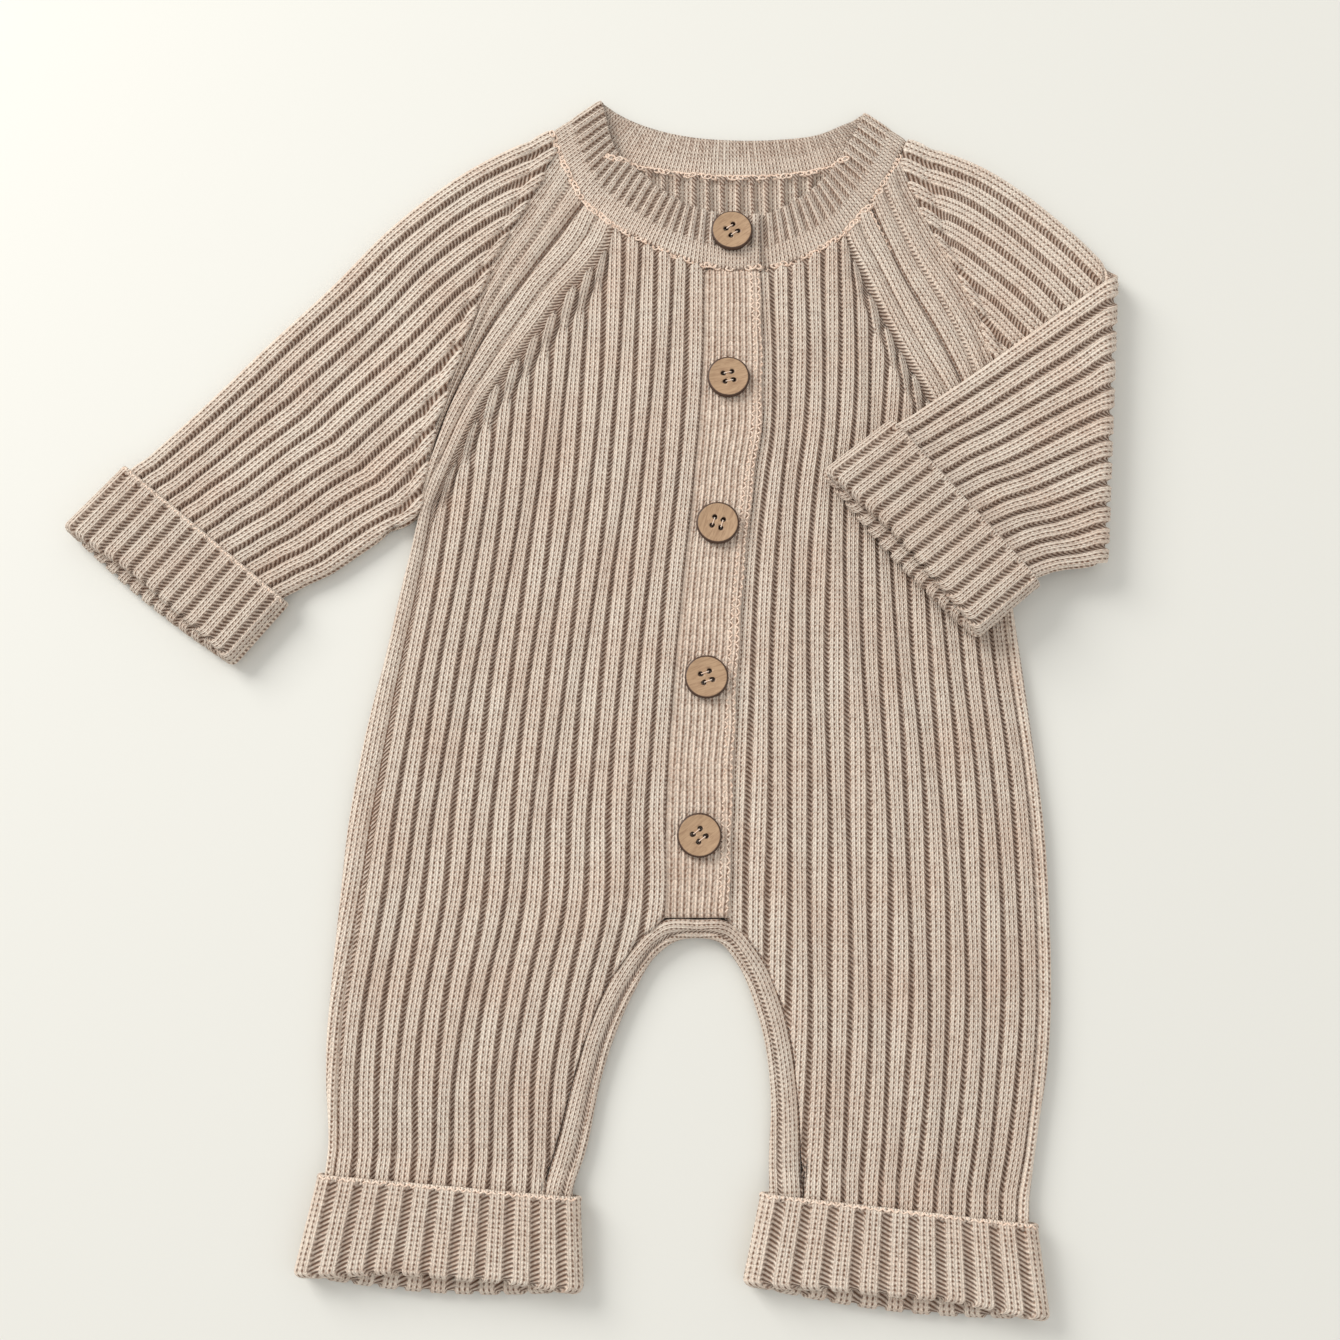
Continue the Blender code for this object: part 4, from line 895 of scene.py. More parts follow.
def addSleeveTube(sheet, spec, look):
    mirror, ribs = spec["mirror"], spec["ribs"]
    upper, along, inward, width, underarm = sleeveWidths(spec, look)
    extra = rolled(np.zeros(1), cloth["rollIn"], look["edgeHalf"], 3.0)[2]

    def place(q, v):
        base = hermite(along[::9], upper[::9], v)
        normal = np.stack([np.interp(v, along, inward[:, k]) for k in (0, 1)], axis=-1)
        span = np.interp(v, along, width)
        whole = span + 2 * extra
        ring = np.where(q > ribs, 2 * ribs - q, q)
        arc = ring / ribs * whole
        d, rise, _ = rolled(np.minimum(arc, whole - arc), cloth["rollIn"], look["edgeHalf"], 3.0)
        over = np.where(arc < whole / 2, d, span - d)
        sway = 0.3 * np.sin(v / 17.0 + q * 2.2) * np.minimum(1.0, d / 15.0)
        return base + normal * (over + sway)[..., None], rise

    frontS = ribColumns(0.0, ribs)
    s = np.concatenate((frontS, ribs + frontS[1:]))
    vs = np.linspace(0.0, along[-1], look["stations"])
    endFront = np.array(spec["ends"] + [spec["neckEnd"]])
    ends = backEnds(spec)
    keep = ends[:, 1] < spec["backNeck"][-1][1]
    endBack = np.vstack((ends[keep], spec["backNeck"][::-1], [spec["neckEnd"]]))
    endBack = endBack[np.argsort(endBack[:, 1])]

    def passed(q, v):
        spot, _ = place(q, v)
        x, y = spot[..., 0], spot[..., 1]
        frontEdge = np.interp(y, endFront[:, 1], endFront[:, 0])
        backEdge = np.interp(y, endBack[:, 1], endBack[:, 0])
        return (x - np.where(q > ribs, backEdge, frontEdge)) * mirror > 0.0

    out = passed(s[None, :], vs[:, None]) & (vs[:, None] > 60.0)
    stop = np.where(out.any(axis=0), vs[np.argmax(out, axis=0)], along[-1])
    stop[np.abs(s - ribs) < 0.3] = np.minimum(stop[np.abs(s - ribs) < 0.3], underarm)
    stop[(s < 0.02) | (s > 2 * ribs - 0.02)] = along[-1]
    fall = rowSpread(spec["rowCount"], np.array(look["endSteps"]), stop - spec["start"])
    v = stop[None, :] - fall
    plan, rise = place(s[None, :] + 0.0 * v, v)
    raglanEnd = smooth((stop[0] - stop) / 8.0)[None, :]
    bend = raglanEnd * np.clip(1.0 - fall / look["bendLength"], 0.0, 1.0) ** 1.5
    plan = plan + bend[..., None] * np.array((look["bendBy"][0] * mirror, look["bendBy"][1]))
    x, y = plan[..., 0], plan[..., 1]
    level = np.where(s[None, :] <= ribs, crownOf(x, y, mirror) + soften(x, y), cloth["rest"])
    z = cloth["mid"] + (level - cloth["mid"]) * rise + sleeveLift(x, y, mirror)
    relief, depth = ribs3(s[None, :] + 0.0 * y, fall * 1.15, leafTip, 0.25 + 0.6 * raglanEnd)
    base = np.concatenate((plan, z[..., None]), axis=-1)
    warp = foldOver if mirror < 0 else None
    addGrid(sheet, base, relief, ribUv(s[None, :], v), depth, (depth > 0.45) * 1.0, "ring",
            closed=True, warp=warp)


def addSleeveSeams(sheet, spec, look):
    # The two ribs along the raglan seam, front and back.
    for seamPoints, endPoints, facing in ((spec["seam"], np.array(spec["ends"]), 1.0),
                                          (spec["backSeam"], backEnds(spec), -1.0)):
        seam = path(seamPoints, look["seamRows"])
        rim = path(endPoints, look["seamRows"])
        t = np.linspace(0.0, 1.0, look["seamColumns"])[None, :]
        gap = np.linalg.norm(rim - seam, axis=1)[:, None]
        plan = seam[:, None] + (rim - seam)[:, None] * t[..., None]
        past = lengths(seam)[:, None]
        _, rise, _ = rolled(0.08 * past + 0.0 * t + 0.15 * t * gap, cloth["rollIn"], 2.7, 3.0)
        x, y = plan[..., 0], plan[..., 1]
        level = crownOf(x, y, spec["mirror"]) + soften(x, y) if facing > 0 else cloth["rest"]
        z = cloth["mid"] + (level - cloth["mid"]) * rise
        relief = segments(t + 0.0 * past, look["seamRibs"], -0.8, 0.75)
        relief = np.maximum(relief, -0.35 - 0.25 * (t < 0.8)) - 0.9 * (1.0 - between(t, 0.0, 0.06))
        shrink = between(gap, 2.0, 9.0)
        relief = relief * shrink - 0.5 * (1.0 - shrink)
        # painted shade in the grooves, from how low the relief lies
        depth = np.clip(-relief - 0.1, 0.0, 1.0)
        ladder = ((t > look["seamRibs"][0][1]) & (t < 0.45)) * 1.0
        uv = stitchUv(t * gap / cloth["waleWidth"], past)
        addGrid(sheet, np.stack((x, y, z), axis=-1), relief, uv, depth, ladder, facing)


def buildSleeve(name, spec, look):
    sheet = newSheet()
    addSleeveTube(sheet, spec, look)
    addSleeveSeams(sheet, spec, look)
    return makeObject(f"{name}_knit", sheet, knit)


for name, spec in sleeves.items():
    made[name] = buildSleeve(name, spec, sleeveLook)
print("sleeves done")


# ---- Gusset along the inner legs ----

gussetLook = {"crotch": (11.5, -103.2), "crotchEdge": (11.5, -109.8), "stations": 180, "edgeHalf": 2.7,
              "ribs": ((0.05, 0.6), (0.7, 1.3), (1.4, 1.95)), "ladder": (0.58, 0.72)}


def buildGusset(look):
    sheet = newSheet()
    seam = path(insideSeamRight[::-1][1:] + [look["crotch"]] + insideSeamLeft[:-1], look["stations"])
    edge = path(insideEdgeRight[::-1][1:] + [look["crotchEdge"]] + insideEdgeLeft[:-1], look["stations"])
    half = np.linspace(0.0, 1.0, 30)
    t = np.concatenate((half, 2.0 - half[::-1][1:]))[None, :]
    width = np.linalg.norm(edge - seam, axis=1)[:, None]
    near = np.minimum(t, 2.0 - t)
    extra = rolled(np.zeros(1), cloth["rollIn"], look["edgeHalf"], 3.0)[2]
    d, rise, _ = rolled((1.0 - near) * (width + extra), cloth["rollIn"], look["edgeHalf"], 3.0)
    share = np.clip(1.0 - d / np.maximum(width, d[:, :1]), 0.0, 1.0)
    plan = seam[:, None] + (edge - seam)[:, None] * share[..., None]
    x, y = plan[..., 0], plan[..., 1]
    toLeft = between(x, 18.0, 26.0)
    crown = crownRight(x, y) * (1.0 - toLeft) + crownLeft(x, y) * toLeft
    level = np.where(t <= 1.0, crown + soften(x, y), cloth["rest"])
    z = cloth["mid"] + (level - cloth["mid"]) * rise + legLift(x, y)
    relief = segments(t + 0.0 * x, look["ribs"], -0.85, 0.7)
    relief = relief - 0.8 * (1.0 - between(near, 0.0, 0.06))
    # painted shade in the grooves, from how low the relief lies
    depth = np.clip(-relief - 0.1, 0.0, 1.0)
    uv = stitchUv(t * (width + 3.0) / cloth["waleWidth"], lengths(seam)[:, None])
    purl = ((t > look["ladder"][0]) & (t < look["ladder"][1])) * 1.0
    addGrid(sheet, np.stack((x, y, z), axis=-1), relief, uv, depth, purl, "ring")
    return makeObject("gusset_knit", sheet, knit)


made["gusset"] = buildGusset(gussetLook)


# ---- Turn-ups ----

cuffForm = {"low": -0.95, "high": 0.65, "grooveHalf": 0.12, "flank": 0.1, "waleDip": 0.3, "waleFrom": 0.17}
cuffTip = {"fall": (0.0, 1.6, 2.6, 4.4), "half": (0.66, 0.66, 0.52, 0.5), "lift": (0.0, 0.0, 0.0, 0.0)}
turnupLook = {"legRibs": 11, "sleeveRibs": 13, "roundIn": 8.5, "power": 2.2, "foldRadius": 2.4,
              "inside": 15.0, "frontShort": 3.0,
              "phases": (0.0, 0.06, 0.12, 0.165, 0.21, 0.29, 0.39, 0.5, 0.61, 0.71, 0.79, 0.835, 0.88, 0.94)}


def turnupStations(length, look):
    # Share of the way from edge to fold, how far inside the outline, and how far past the fold.
    radius = look["foldRadius"]
    shares = np.concatenate(([0.0, 0.4, 0.9, 1.6, 2.6, 3.8], np.linspace(5.0, length - radius, 14))) / length
    stations = [(share, 0.0, 0.0) for share in shares]
    stations += [(shares[-1], radius * (1.0 - math.cos(a)), radius * math.sin(a))
                 for a in np.linspace(0.0, math.pi, 11)[1:]]
    stations += [(shares[-1] - back / length, 2 * radius, 0.0)
                 for back in np.linspace(0.0, look["inside"], 7)[1:]]
    return stations


def buildTurnup(name, corners, ribs, look, folded=False):
    sheet = newSheet()
    a0, b0, a1, b1 = (np.array(corners[k:k + 2]) for k in (0, 2, 4, 6))
    bulge = corners[8]
    half = cloth["mid"] + cloth["layer"]
    along = (a1 + b1 - a0 - b0) / np.linalg.norm(a1 + b1 - a0 - b0)
    side = (np.arange(ribs)[:, None] + np.array(look["phases"])).ravel()
    s = np.concatenate((side, ribs + side, [2.0 * ribs]))
    front = s <= ribs
    rings, reliefs, reaches, troughs = [], [], [], []
    stations = turnupStations(np.linalg.norm(a1 - a0), look)
    reach = 0.0
    for n, (share, inset, push) in enumerate(stations):
        start, end = a0 + (a1 - a0) * share, b0 + (b1 - b0) * share
        width = np.linalg.norm(end - start) - 2 * inset
        across = (end - start) / np.linalg.norm(end - start)
        start = start + across * inset
        height = half - inset
        extra = rolled(np.zeros(1), look["roundIn"], height, look["power"])[2]
        whole = width + 2 * extra
        arc = np.where(s > ribs, 2 * ribs - s, s) / ribs * whole
        d, rise, _ = rolled(np.minimum(arc, whole - arc), look["roundIn"], height, look["power"])
        over = np.where(arc < whole / 2, d, width - d)
        belly = np.sin(math.pi * np.clip(over / width, 0.0, 1.0)) * share
        wave = 0.5 * np.sin(over / 13.0 + 1.0) + 0.4 * np.sin(over / 7.3)
        shortened = (wave - np.sqrt(np.maximum(belly, 0.0)) * look["frontShort"]) * share
        slide = np.where(front, shortened, belly * bulge)
        plan = start + across * over[:, None] + along * (slide + push)[:, None]
        z = half + np.where(front, 1.0, -1.0) * rise * height
        if not folded:
            z = np.where(front, z + 0.5 * soften(plan[:, 0], plan[:, 1]) * (1.0 - inset / 6.0),
                         np.maximum(z, cloth["rest"] if inset < 0.1 else 0.4))
        ring = np.column_stack((plan, z))
        if n:
            reach += max(0.2, float(np.median(np.linalg.norm(ring - rings[-1], axis=1))))
        rings.append(ring)
        reaches.append(reach)
        bump, dark = ribs3(s, np.full(s.shape, reach), cuffTip, 1.0, cuffForm)
        strength = 1.0 - 0.4 * min(1.0, inset / (2 * look["foldRadius"]))
        reliefs.append(bump * strength - 1.0 * max(0.0, 0.5 - reach))
        # painted groove shade, stronger round the fold and inside it
        troughs.append(dark * (0.9 if inset else 0.75))
    base = np.array(rings)
    if folded:
        base[..., 2] = cloth["top"] - base[..., 2]
    trough = np.array(troughs)
    uv = ribUv(s[None, :], np.array(reaches)[:, None], cuffForm)
    addGrid(sheet, base, np.array(reliefs), uv, trough, (trough > 0.35) * 1.0, "ring",
            closed=True, warp=foldOver if folded else None)
    return makeObject(f"{name}_knit", sheet, knit)


for name, corners in turnups.items():
    ribs = turnupLook["sleeveRibs" if "sleeve" in name else "legRibs"]
    made[name] = buildTurnup(name, corners, ribs, turnupLook)
mirroredCorners = np.array(turnups["turnup_sleeve_right"])
mirroredCorners[:8:2] = 2 * elbow["mirrorX"] - mirroredCorners[:8:2]
made["turnup_sleeve_left"] = buildTurnup("turnup_sleeve_left", mirroredCorners, turnupLook["sleeveRibs"],
                                         turnupLook, folded=True)
print("turn-ups done")


# ---- Neckband ----

neckLook = {
    "pitch": 4.7,
    "smoothPart": 0.4,  # share of the width, from the seam, that has no ribs
    "phases": (0.0, 0.14, 0.22, 0.3, 0.5, 0.7, 0.78, 0.86),
    "rows": (0.02, 0.05, 0.09, 0.15, 0.24, 0.31, 0.37, 0.43, 0.52, 0.64, 0.76, 0.86, 0.93, 0.975, 1.0),
}


def buildNeckband(look):
    sheet = newSheet()
    rows = np.array(neckRows)
    middle = (rows[:, :2] + rows[:, 2:4]) / 2
    along = lengths(np.column_stack((middle, rows[:, 4] * 2.7)))
    ribs = int(along[-1] / look["pitch"])
    s = np.concatenate(((np.arange(ribs)[:, None] + np.array(look["phases"])).ravel(), [float(ribs)]))
    where = s / ribs * along[-1]
    seam = hermite(along, rows[:, :2], where)
    edge = hermite(along, rows[:, 2:4], where)
    rise = np.clip(hermite(along, rows[:, 4], where), -1.0, 1.0)
    over = np.interp(where, along, rows[:, 5]) > 0.5
    t = np.array(look["rows"])
    plan = seam[None] + (edge - seam)[None] * t[:, None, None]
    x, y = plan[..., 0], plan[..., 1]
    face = np.where(over[None], crownRight(x, y), crownLeft(x, y)) + 0.4 * soften(x, y)
    z = np.where(rise[None] > 0, cloth["mid"] + (face - cloth["mid"]) * rise[None],
                 cloth["mid"] + (cloth["mid"] - cloth["rest"]) * rise[None])
    base = np.stack((x, y, z), axis=-1)
    phase = s % 1.0
    shape = between(np.minimum(phase, 1.0 - phase), 0.15, 0.29)
    deep = between(t, look["smoothPart"] - 0.03, look["smoothPart"] + 0.05)[:, None]
    relief = (-0.75 + 1.3 * shape[None]) * deep + (0.05 + 0.12 * shape[None]) * (1.0 - deep)
    relief = relief - 0.75 * (1.0 - between(t, 0.0, 0.1)[:, None]) - 0.45 * between(t, 0.9, 1.0)[:, None] ** 2
    relief = relief - 0.25 * bell(t, look["smoothPart"], 0.03)[:, None]
    # painted shade between the ribs of the outer part, faint on the smooth part, and strong along the seam
    depth = np.clip((1.0 - shape[None] * 1.2), 0.0, 1.0) * (0.75 * deep + 0.04 * (1.0 - deep))
    depth = np.maximum(depth, (1.0 - between(t, 0.0, 0.07)[:, None]) * 0.7 + 0.0 * shape[None])
    width = np.linalg.norm(edge - seam, axis=1)[None]
    uv = stitchUv(s[None] * 3.0, t[:, None] * width)
    addNeck(sheet, base, relief, uv, depth)
    return makeObject("neckband_knit", sheet, knit)


def addNeck(sheet, base, relief, uv, depth):
    # The band's outer face looks up in front and down at the back, so its side is told from the front end.
    normal = np.cross(base[:-1, 1:] - base[:-1, :-1], base[1:, :-1] - base[:-1, :-1])
    facing = np.sign(normal[:, :60, 2].mean())
    whole = np.sign(np.mean(np.cross(np.gradient(base, axis=1), np.gradient(base, axis=0))[..., 2]))
    addGrid(sheet, base, relief, uv, depth, (depth > 0.4) * 0.7, facing * whole)


made["neckband"] = buildNeckband(neckLook)
print("neckband done")


# ---- Button bands ----

bandYarn = dict(knitLook, dashes=0.5, notchShadeAmount=0.05, waleGapShade=0.95, stitchFleck=0.25,
                light=(0.94, 0.81, 0.68, 1.0))
bandKnit = knitMaterial("placket_knit", bandYarn)
bandLook = {"walesAcross": 10, "columns": 44, "rows": 170, "ends": (-102.6, 179.0),
            "underNeck": (174.0, 178.5)}
underBandLook = dict(bandLook, walesAcross=11, columns=12, rows=70)


def buildBand(name, height, rightShift, leftShift, look):
    sheet = newSheet()
    rows = np.array(placketRows)
    y = np.linspace(*look["ends"], look["rows"])
    right = hermite(rows[:, 0], rows[:, 1], y) + rightShift
    left = hermite(rows[:, 0], rows[:, 2], y) + leftShift
    left = left + 0.45 * np.sin(y / 9.5) * np.sin(y / 31.0 + 0.5) + 0.25 * np.sin(y / 5.1)
    t = np.concatenate(([0.0, 0.006, 0.018], np.linspace(0.04, 0.96, look["columns"]), [0.982, 0.994, 1.0]))
    x = right[:, None] + (left - right)[:, None] * t[None]
    yy = y[:, None] + 0.0 * x
    z = height + soften(x, yy) * 0.8 + 0.15 * np.sin(yy / 6.5 + x / 9.0)
    edge = between(np.minimum(t, 1.0 - t), 0.0, 0.05)[None] ** 0.6
    wales = ribShape(t * look["walesAcross"], 0.8)[None]
    relief = -0.8 * (1.0 - edge) + 0.45 * (wales - 0.6) * edge - 0.15 + 0.0 * x
    z = z - 1.2 * between(t, 0.18, 0.0)[None] - 1.7 * between(y, *look["underNeck"])[:, None]
    ends = smooth((y - y[0]) / 1.6)
    relief = relief - 0.5 * (1.0 - ends)[:, None]
    # painted shade between the wales and along the band's right edge, where it dips down
    depth = (1.0 - wales) * 0.55 + (t[None] < 0.02) * 0.4 + 0.0 * x
    uv = stitchUv(t[None] * look["walesAcross"], yy / 1.15)
    addGrid(sheet, np.stack((x, yy, z), axis=-1), relief, uv, depth, 0.0, 1.0)
    return makeObject(name, sheet, bandKnit)


made["placket_buttonhole"] = buildBand("placket_buttonhole_knit", cloth["overTop"], -2.0, 0.0, bandLook)
made["placket_button"] = buildBand("placket_button_knit", cloth["underTop"], 2.0, -2.5, underBandLook)
print("bands done")


# ---- Buttons ----

woodLook = {
    "tan": (0.475, 0.312, 0.185, 1.0),
    "brown": (0.330, 0.195, 0.110, 1.0),
    "burnt": (0.060, 0.026, 0.012, 1.0),
    "rimFrom": 0.905,  # share of the radius at which the scorched rim starts
    "holeEdge": 1.35,  # how far round a hole it is scorched, in the hole's radii
}
buttonLook = {
    "radius": 9.0, "low": 8.08, "top": 10.6, "face": 10.35, "holeAt": 1.85, "holeRadius": 0.98, "sides": 72,
    "places": [  # x, y, turn in degrees
        (27.0, 194.0, 34.0), (25.0, 126.0, 12.0), (20.0, 61.0, 72.0), (15.0, -5.0, 20.0), (11.8, -70.0, 38.0),
    ],
}


def woodMaterial(name, look):
    # UVMap is the place on the disc in radii, moved by 10 a button; Tone the shares from centre and hole.
    material, tree, shader, coordinates = startMaterial(name)
    right, up = coordinates.uvMap("UVMap").split()
    grainMap = coordinates.node("ShaderNodeCombineXYZ", {0: right * 0.9, 1: up * 5.5})
    grain = grainMap.noise(1.6, 6.0, Distortion=1.2)
    pores = grainMap.noise(9.0, 3.0)
    share, hole = coordinates.uvMap("Tone").split()
    burnt = ((share + (pores - 0.5) * 0.05 - look["rimFrom"]) * 34.0).clamped()
    burnt = burnt.math("MAXIMUM", ((look["holeEdge"] - hole) * 5.0).clamped())
    wood = mixColour(look["tan"], look["brown"], ((grain - 0.42) * 3.4).clamped())
    wood = mixColour(wood, look["brown"], ((pores - 0.62) * 4.0).clamped() * 0.5)
    colour = mixColour(wood, look["burnt"], burnt)
    finishMaterial(tree, shader, colour, grain * 0.15 + 0.42, grain * 0.5 + pores * 0.5, 0.35, 0.0004)
    return material


def yarnMaterial(name, look):
    material, tree, shader, coordinates = startMaterial(name)
    fuzz = coordinates.objectSpace().noise(1500.0, 3.0)
    colour = mixColour(look["yarn"], look["light"], ((fuzz - 0.5) * 3.0 + 0.4).clamped())
    finishMaterial(tree, shader, colour, fuzz * 0.1 + 0.85, fuzz, 0.7, 0.0003)
    return material


wood = woodMaterial("button_wood", woodLook)
yarn = yarnMaterial("sewing_yarn", knitLook)


def buttonDisc(number, look):
    radius, low, top, face, sides = (look[key] for key in ("radius", "low", "top", "face", "sides"))
    profile = [  # radius, height
        (0.0, low), (radius - 0.7, low), (radius - 0.1, low + 0.5), (radius, low + 1.2), (radius, top - 0.5),
        (radius - 0.25, top - 0.12), (radius - 0.7, top), (radius - 1.3, top - 0.04), (radius - 2.2, face),
        (radius - 4.5, face - 0.05), (0.0, face - 0.05),
    ]
    shape = bmesh.new()
    turns = np.linspace(0.0, 2 * math.pi, sides, endpoint=False)
    wear = 1.0 + 0.006 * np.sin(3.0 * turns + number) + 0.004 * np.sin(7.0 * turns + 2.0 * number)
    rings = []
    for r, z in profile:
        if r == 0.0:
            rings.append([shape.verts.new((0.0, 0.0, z))] * sides)
        else:
            rings.append([shape.verts.new((r * w * math.cos(a), r * w * math.sin(a), z))
                          for a, w in zip(turns, wear)])
    for lower, upper in zip(rings, rings[1:]):
        for i in range(sides):
            corners = [lower[i], lower[(i + 1) % sides], upper[(i + 1) % sides], upper[i]]
            shape.faces.new(list(dict.fromkeys(corners)))
    disc = bpy.data.meshes.new(f"button_{number}_disc")
    shape.to_mesh(disc)
    shape.free()
    return disc


def holeCutter(holes, radius):
    punch = bmesh.new()
    for x, y in holes:
        bmesh.ops.create_cone(punch, cap_ends=True, segments=20, radius1=radius, radius2=radius, depth=6.0,
                              matrix=Matrix.Translation((x, y, 9.5)))
    cutter = bpy.data.objects.new("holes", bpy.data.meshes.new("holes"))
    punch.to_mesh(cutter.data)
    punch.free()
    bpy.context.scene.collection.objects.link(cutter)
    return cutter


def buildButton(number, place, look):
    button = bpy.data.objects.new(f"button_{number}_wood", buttonDisc(number, look))
    bpy.context.scene.collection.objects.link(button)
    holes = [(i * look["holeAt"], j * look["holeAt"]) for i in (-1, 1) for j in (-1, 1)]
    cutter = holeCutter(holes, look["holeRadius"])
    cut = button.modifiers.new("holes", "BOOLEAN")
    cut.operation, cut.object, cut.solver = "DIFFERENCE", cutter, "EXACT"
    mesh = bpy.data.meshes.new_from_object(button.evaluated_get(bpy.context.evaluated_depsgraph_get()))
    button.modifiers.clear()
    button.data = mesh
    bpy.data.objects.remove(cutter)
    mesh.name = f"button_{number}_wood"
    mesh.materials.clear()
    mesh.materials.append(wood)
    spots = np.empty(len(mesh.vertices) * 3)
    mesh.vertices.foreach_get("co", spots)
    spots = spots.reshape(-1, 3)
    corners = np.empty(len(mesh.loops), dtype=np.int32)
    mesh.loops.foreach_get("vertex_index", corners)
    local = spots[corners, :2]
    nearHole = np.min([np.hypot(local[:, 0] - x, local[:, 1] - y) for x, y in holes], axis=0)
    share = np.hypot(local[:, 0], local[:, 1]) / look["radius"]
    share = np.where(spots[corners, 2] < look["top"] - 0.3, 1.2 - 0.5 * (share < 0.5), share)
    tone = np.column_stack((share, nearHole / look["holeRadius"]))
    for layerName, values in (("UVMap", local / look["radius"] + 10.0 * number), ("Tone", tone)):
        mesh.uv_layers.new(name=layerName).data.foreach_set("uv", values.astype(np.float32).ravel())
    placed = np.column_stack((turned(spots[:, :2], place), spots[:, 2]))
    mesh.vertices.foreach_set("co", ((placed + shift) * mm).ravel())
    mesh.shade_smooth()
    return button


def turned(points, place):
    # Points of a button about its own middle, put where the button lies.
    x, y, turn = place
    c, k = math.cos(math.radians(turn)), math.sin(math.radians(turn))
    return points @ np.array(((c, k), (-k, c))) + (x, y)


# ---- Stitches that follow a seam ----

def stitchTree(kind):
    # Humped stitches or small rings along the edges of a mesh, turned to follow them.
    tree = bpy.data.node_groups.new(f"{kind}_stitches", "GeometryNodeTree")
    ids = {}
    tree.interface.new_socket("Geometry", in_out="INPUT", socket_type="NodeSocketGeometry")
    tree.interface.new_socket("Geometry", in_out="OUTPUT", socket_type="NodeSocketGeometry")
    inputs = dict.fromkeys(("Spacing", "Length", "Width", "Yarn Radius", "Swing", "Unevenness"), "Float")
    inputs.update({"Seed": "Int", "Material": "Material"})
    for label, kindOf in inputs.items():
        socket = tree.interface.new_socket(label, in_out="INPUT", socket_type=f"NodeSocket{kindOf}")
        ids[label] = socket.identifier
    add = tree.nodes.new
    group = add("NodeGroupInput").outputs

    def join(source, node, socket):
        tree.links.new(source, node.inputs[socket])

    def calc(operation, a, b=0.0):
        node = add("ShaderNodeMath")
        node.operation = operation
        for slot, value in enumerate((a, b)):
            if isinstance(value, (int, float)):
                node.inputs[slot].default_value = value
            else:
                join(value, node, slot)
        return node.outputs[0]

    curve = add("GeometryNodeMeshToCurve")
    join(group["Geometry"], curve, "Mesh")
    spread = add("GeometryNodeResampleCurve")
    spread.mode = "LENGTH"
    join(curve.outputs[0], spread, "Curve")
    join(group["Spacing"], spread, "Length")
    yarnRound = add("GeometryNodeCurvePrimitiveCircle")
    yarnRound.mode = "RADIUS"
    yarnRound.inputs["Resolution"].default_value = 5
    join(group["Yarn Radius"], yarnRound, "Radius")
    sweep = add("GeometryNodeCurveToMesh")
    join(yarnRound.outputs[0], sweep, "Profile Curve")
    size = add("ShaderNodeCombineXYZ")
    join(group["Length"], size, 0)
    if kind == "ring":
        ring = add("GeometryNodeCurvePrimitiveCircle")
        ring.mode = "RADIUS"
        ring.inputs["Resolution"].default_value = 10
        ring.inputs["Radius"].default_value = 0.5
        flatten = add("GeometryNodeTransform")
        join(ring.outputs[0], flatten, "Geometry")
        join(group["Width"], size, 1)
        size.inputs[2].default_value = 1.0
        join(size.outputs[0], flatten, "Scale")
        join(flatten.outputs[0], sweep, "Curve")
    else:
        hump = add("GeometryNodeCurveQuadraticBezier")
        hump.inputs["Resolution"].default_value = 5
        for name, reach, height in (("Start", -0.5, -1.0), ("Middle", 0.0, 1.0), ("End", 0.5, -1.0)):
            spot = add("ShaderNodeCombineXYZ")
            join(calc("MULTIPLY", group["Length"], reach), spot, 0)
            join(calc("MULTIPLY", group["Width"], height), spot, 2)
            join(spot.outputs[0], hump, name)
        join(hump.outputs[0], sweep, "Curve")
        sweep.inputs["Fill Caps"].default_value = True
    tangent = add("ShaderNodeSeparateXYZ")
    join(add("GeometryNodeInputTangent").outputs[0], tangent, 0)
    heading = calc("ARCTAN2", tangent.outputs[1], tangent.outputs[0])
    odd = calc("MODULO", add("GeometryNodeInputIndex").outputs[0], 2.0)
    parity = calc("SUBTRACT", calc("MULTIPLY", odd, 2.0), 1.0)
    chance = add("FunctionNodeRandomValue")
    join(group["Seed"], chance, "Seed")
    join(group["Unevenness"], chance, "Max")
    join(calc("MULTIPLY", group["Unevenness"], -1.0), chance, "Min")
    random = [o for o in chance.outputs if o.enabled][0]
    turn = calc("ADD", calc("ADD", heading, calc("MULTIPLY", parity, group["Swing"])), random)
    angles = add("ShaderNodeCombineXYZ")
    join(random, angles, 0)
    join(turn, angles, 2)
    place = add("GeometryNodeInstanceOnPoints")
    join(spread.outputs[0], place, "Points")
    join(sweep.outputs[0], place, "Instance")
    join(angles.outputs[0], place, "Rotation")
    real = add("GeometryNodeRealizeInstances")
    join(place.outputs[0], real, 0)
    smoothed = add("GeometryNodeSetShadeSmooth")
    join(real.outputs[0], smoothed, 0)
    dressed = add("GeometryNodeSetMaterial")
    join(smoothed.outputs[0], dressed, "Geometry")
    join(group["Material"], dressed, "Material")
    join(dressed.outputs[0], add("NodeGroupOutput"), 0)
    return tree, ids


trees = {kind: stitchTree(kind) for kind in ("ring", "hump")}


def onTop(points, lift):
    # Puts plan points on the highest cloth under them.
    found = []
    for x, y in points:
        start = Vector(((x + shift[0]) * mm, (y + shift[1]) * mm, 0.05))
        hits = [piece.ray_cast(start, Vector((0.0, 0.0, -1.0))) for piece in made.values()]
        heights = [hit[1].z / mm for hit in hits if hit[0]]
        found.append((x, y, max(heights) + lift if heights else math.nan))
    found = np.array(found)
    good = ~np.isnan(found[:, 2])
    found[:, 2] = np.interp(np.arange(len(found)), np.nonzero(good)[0], found[good, 2])
    return found


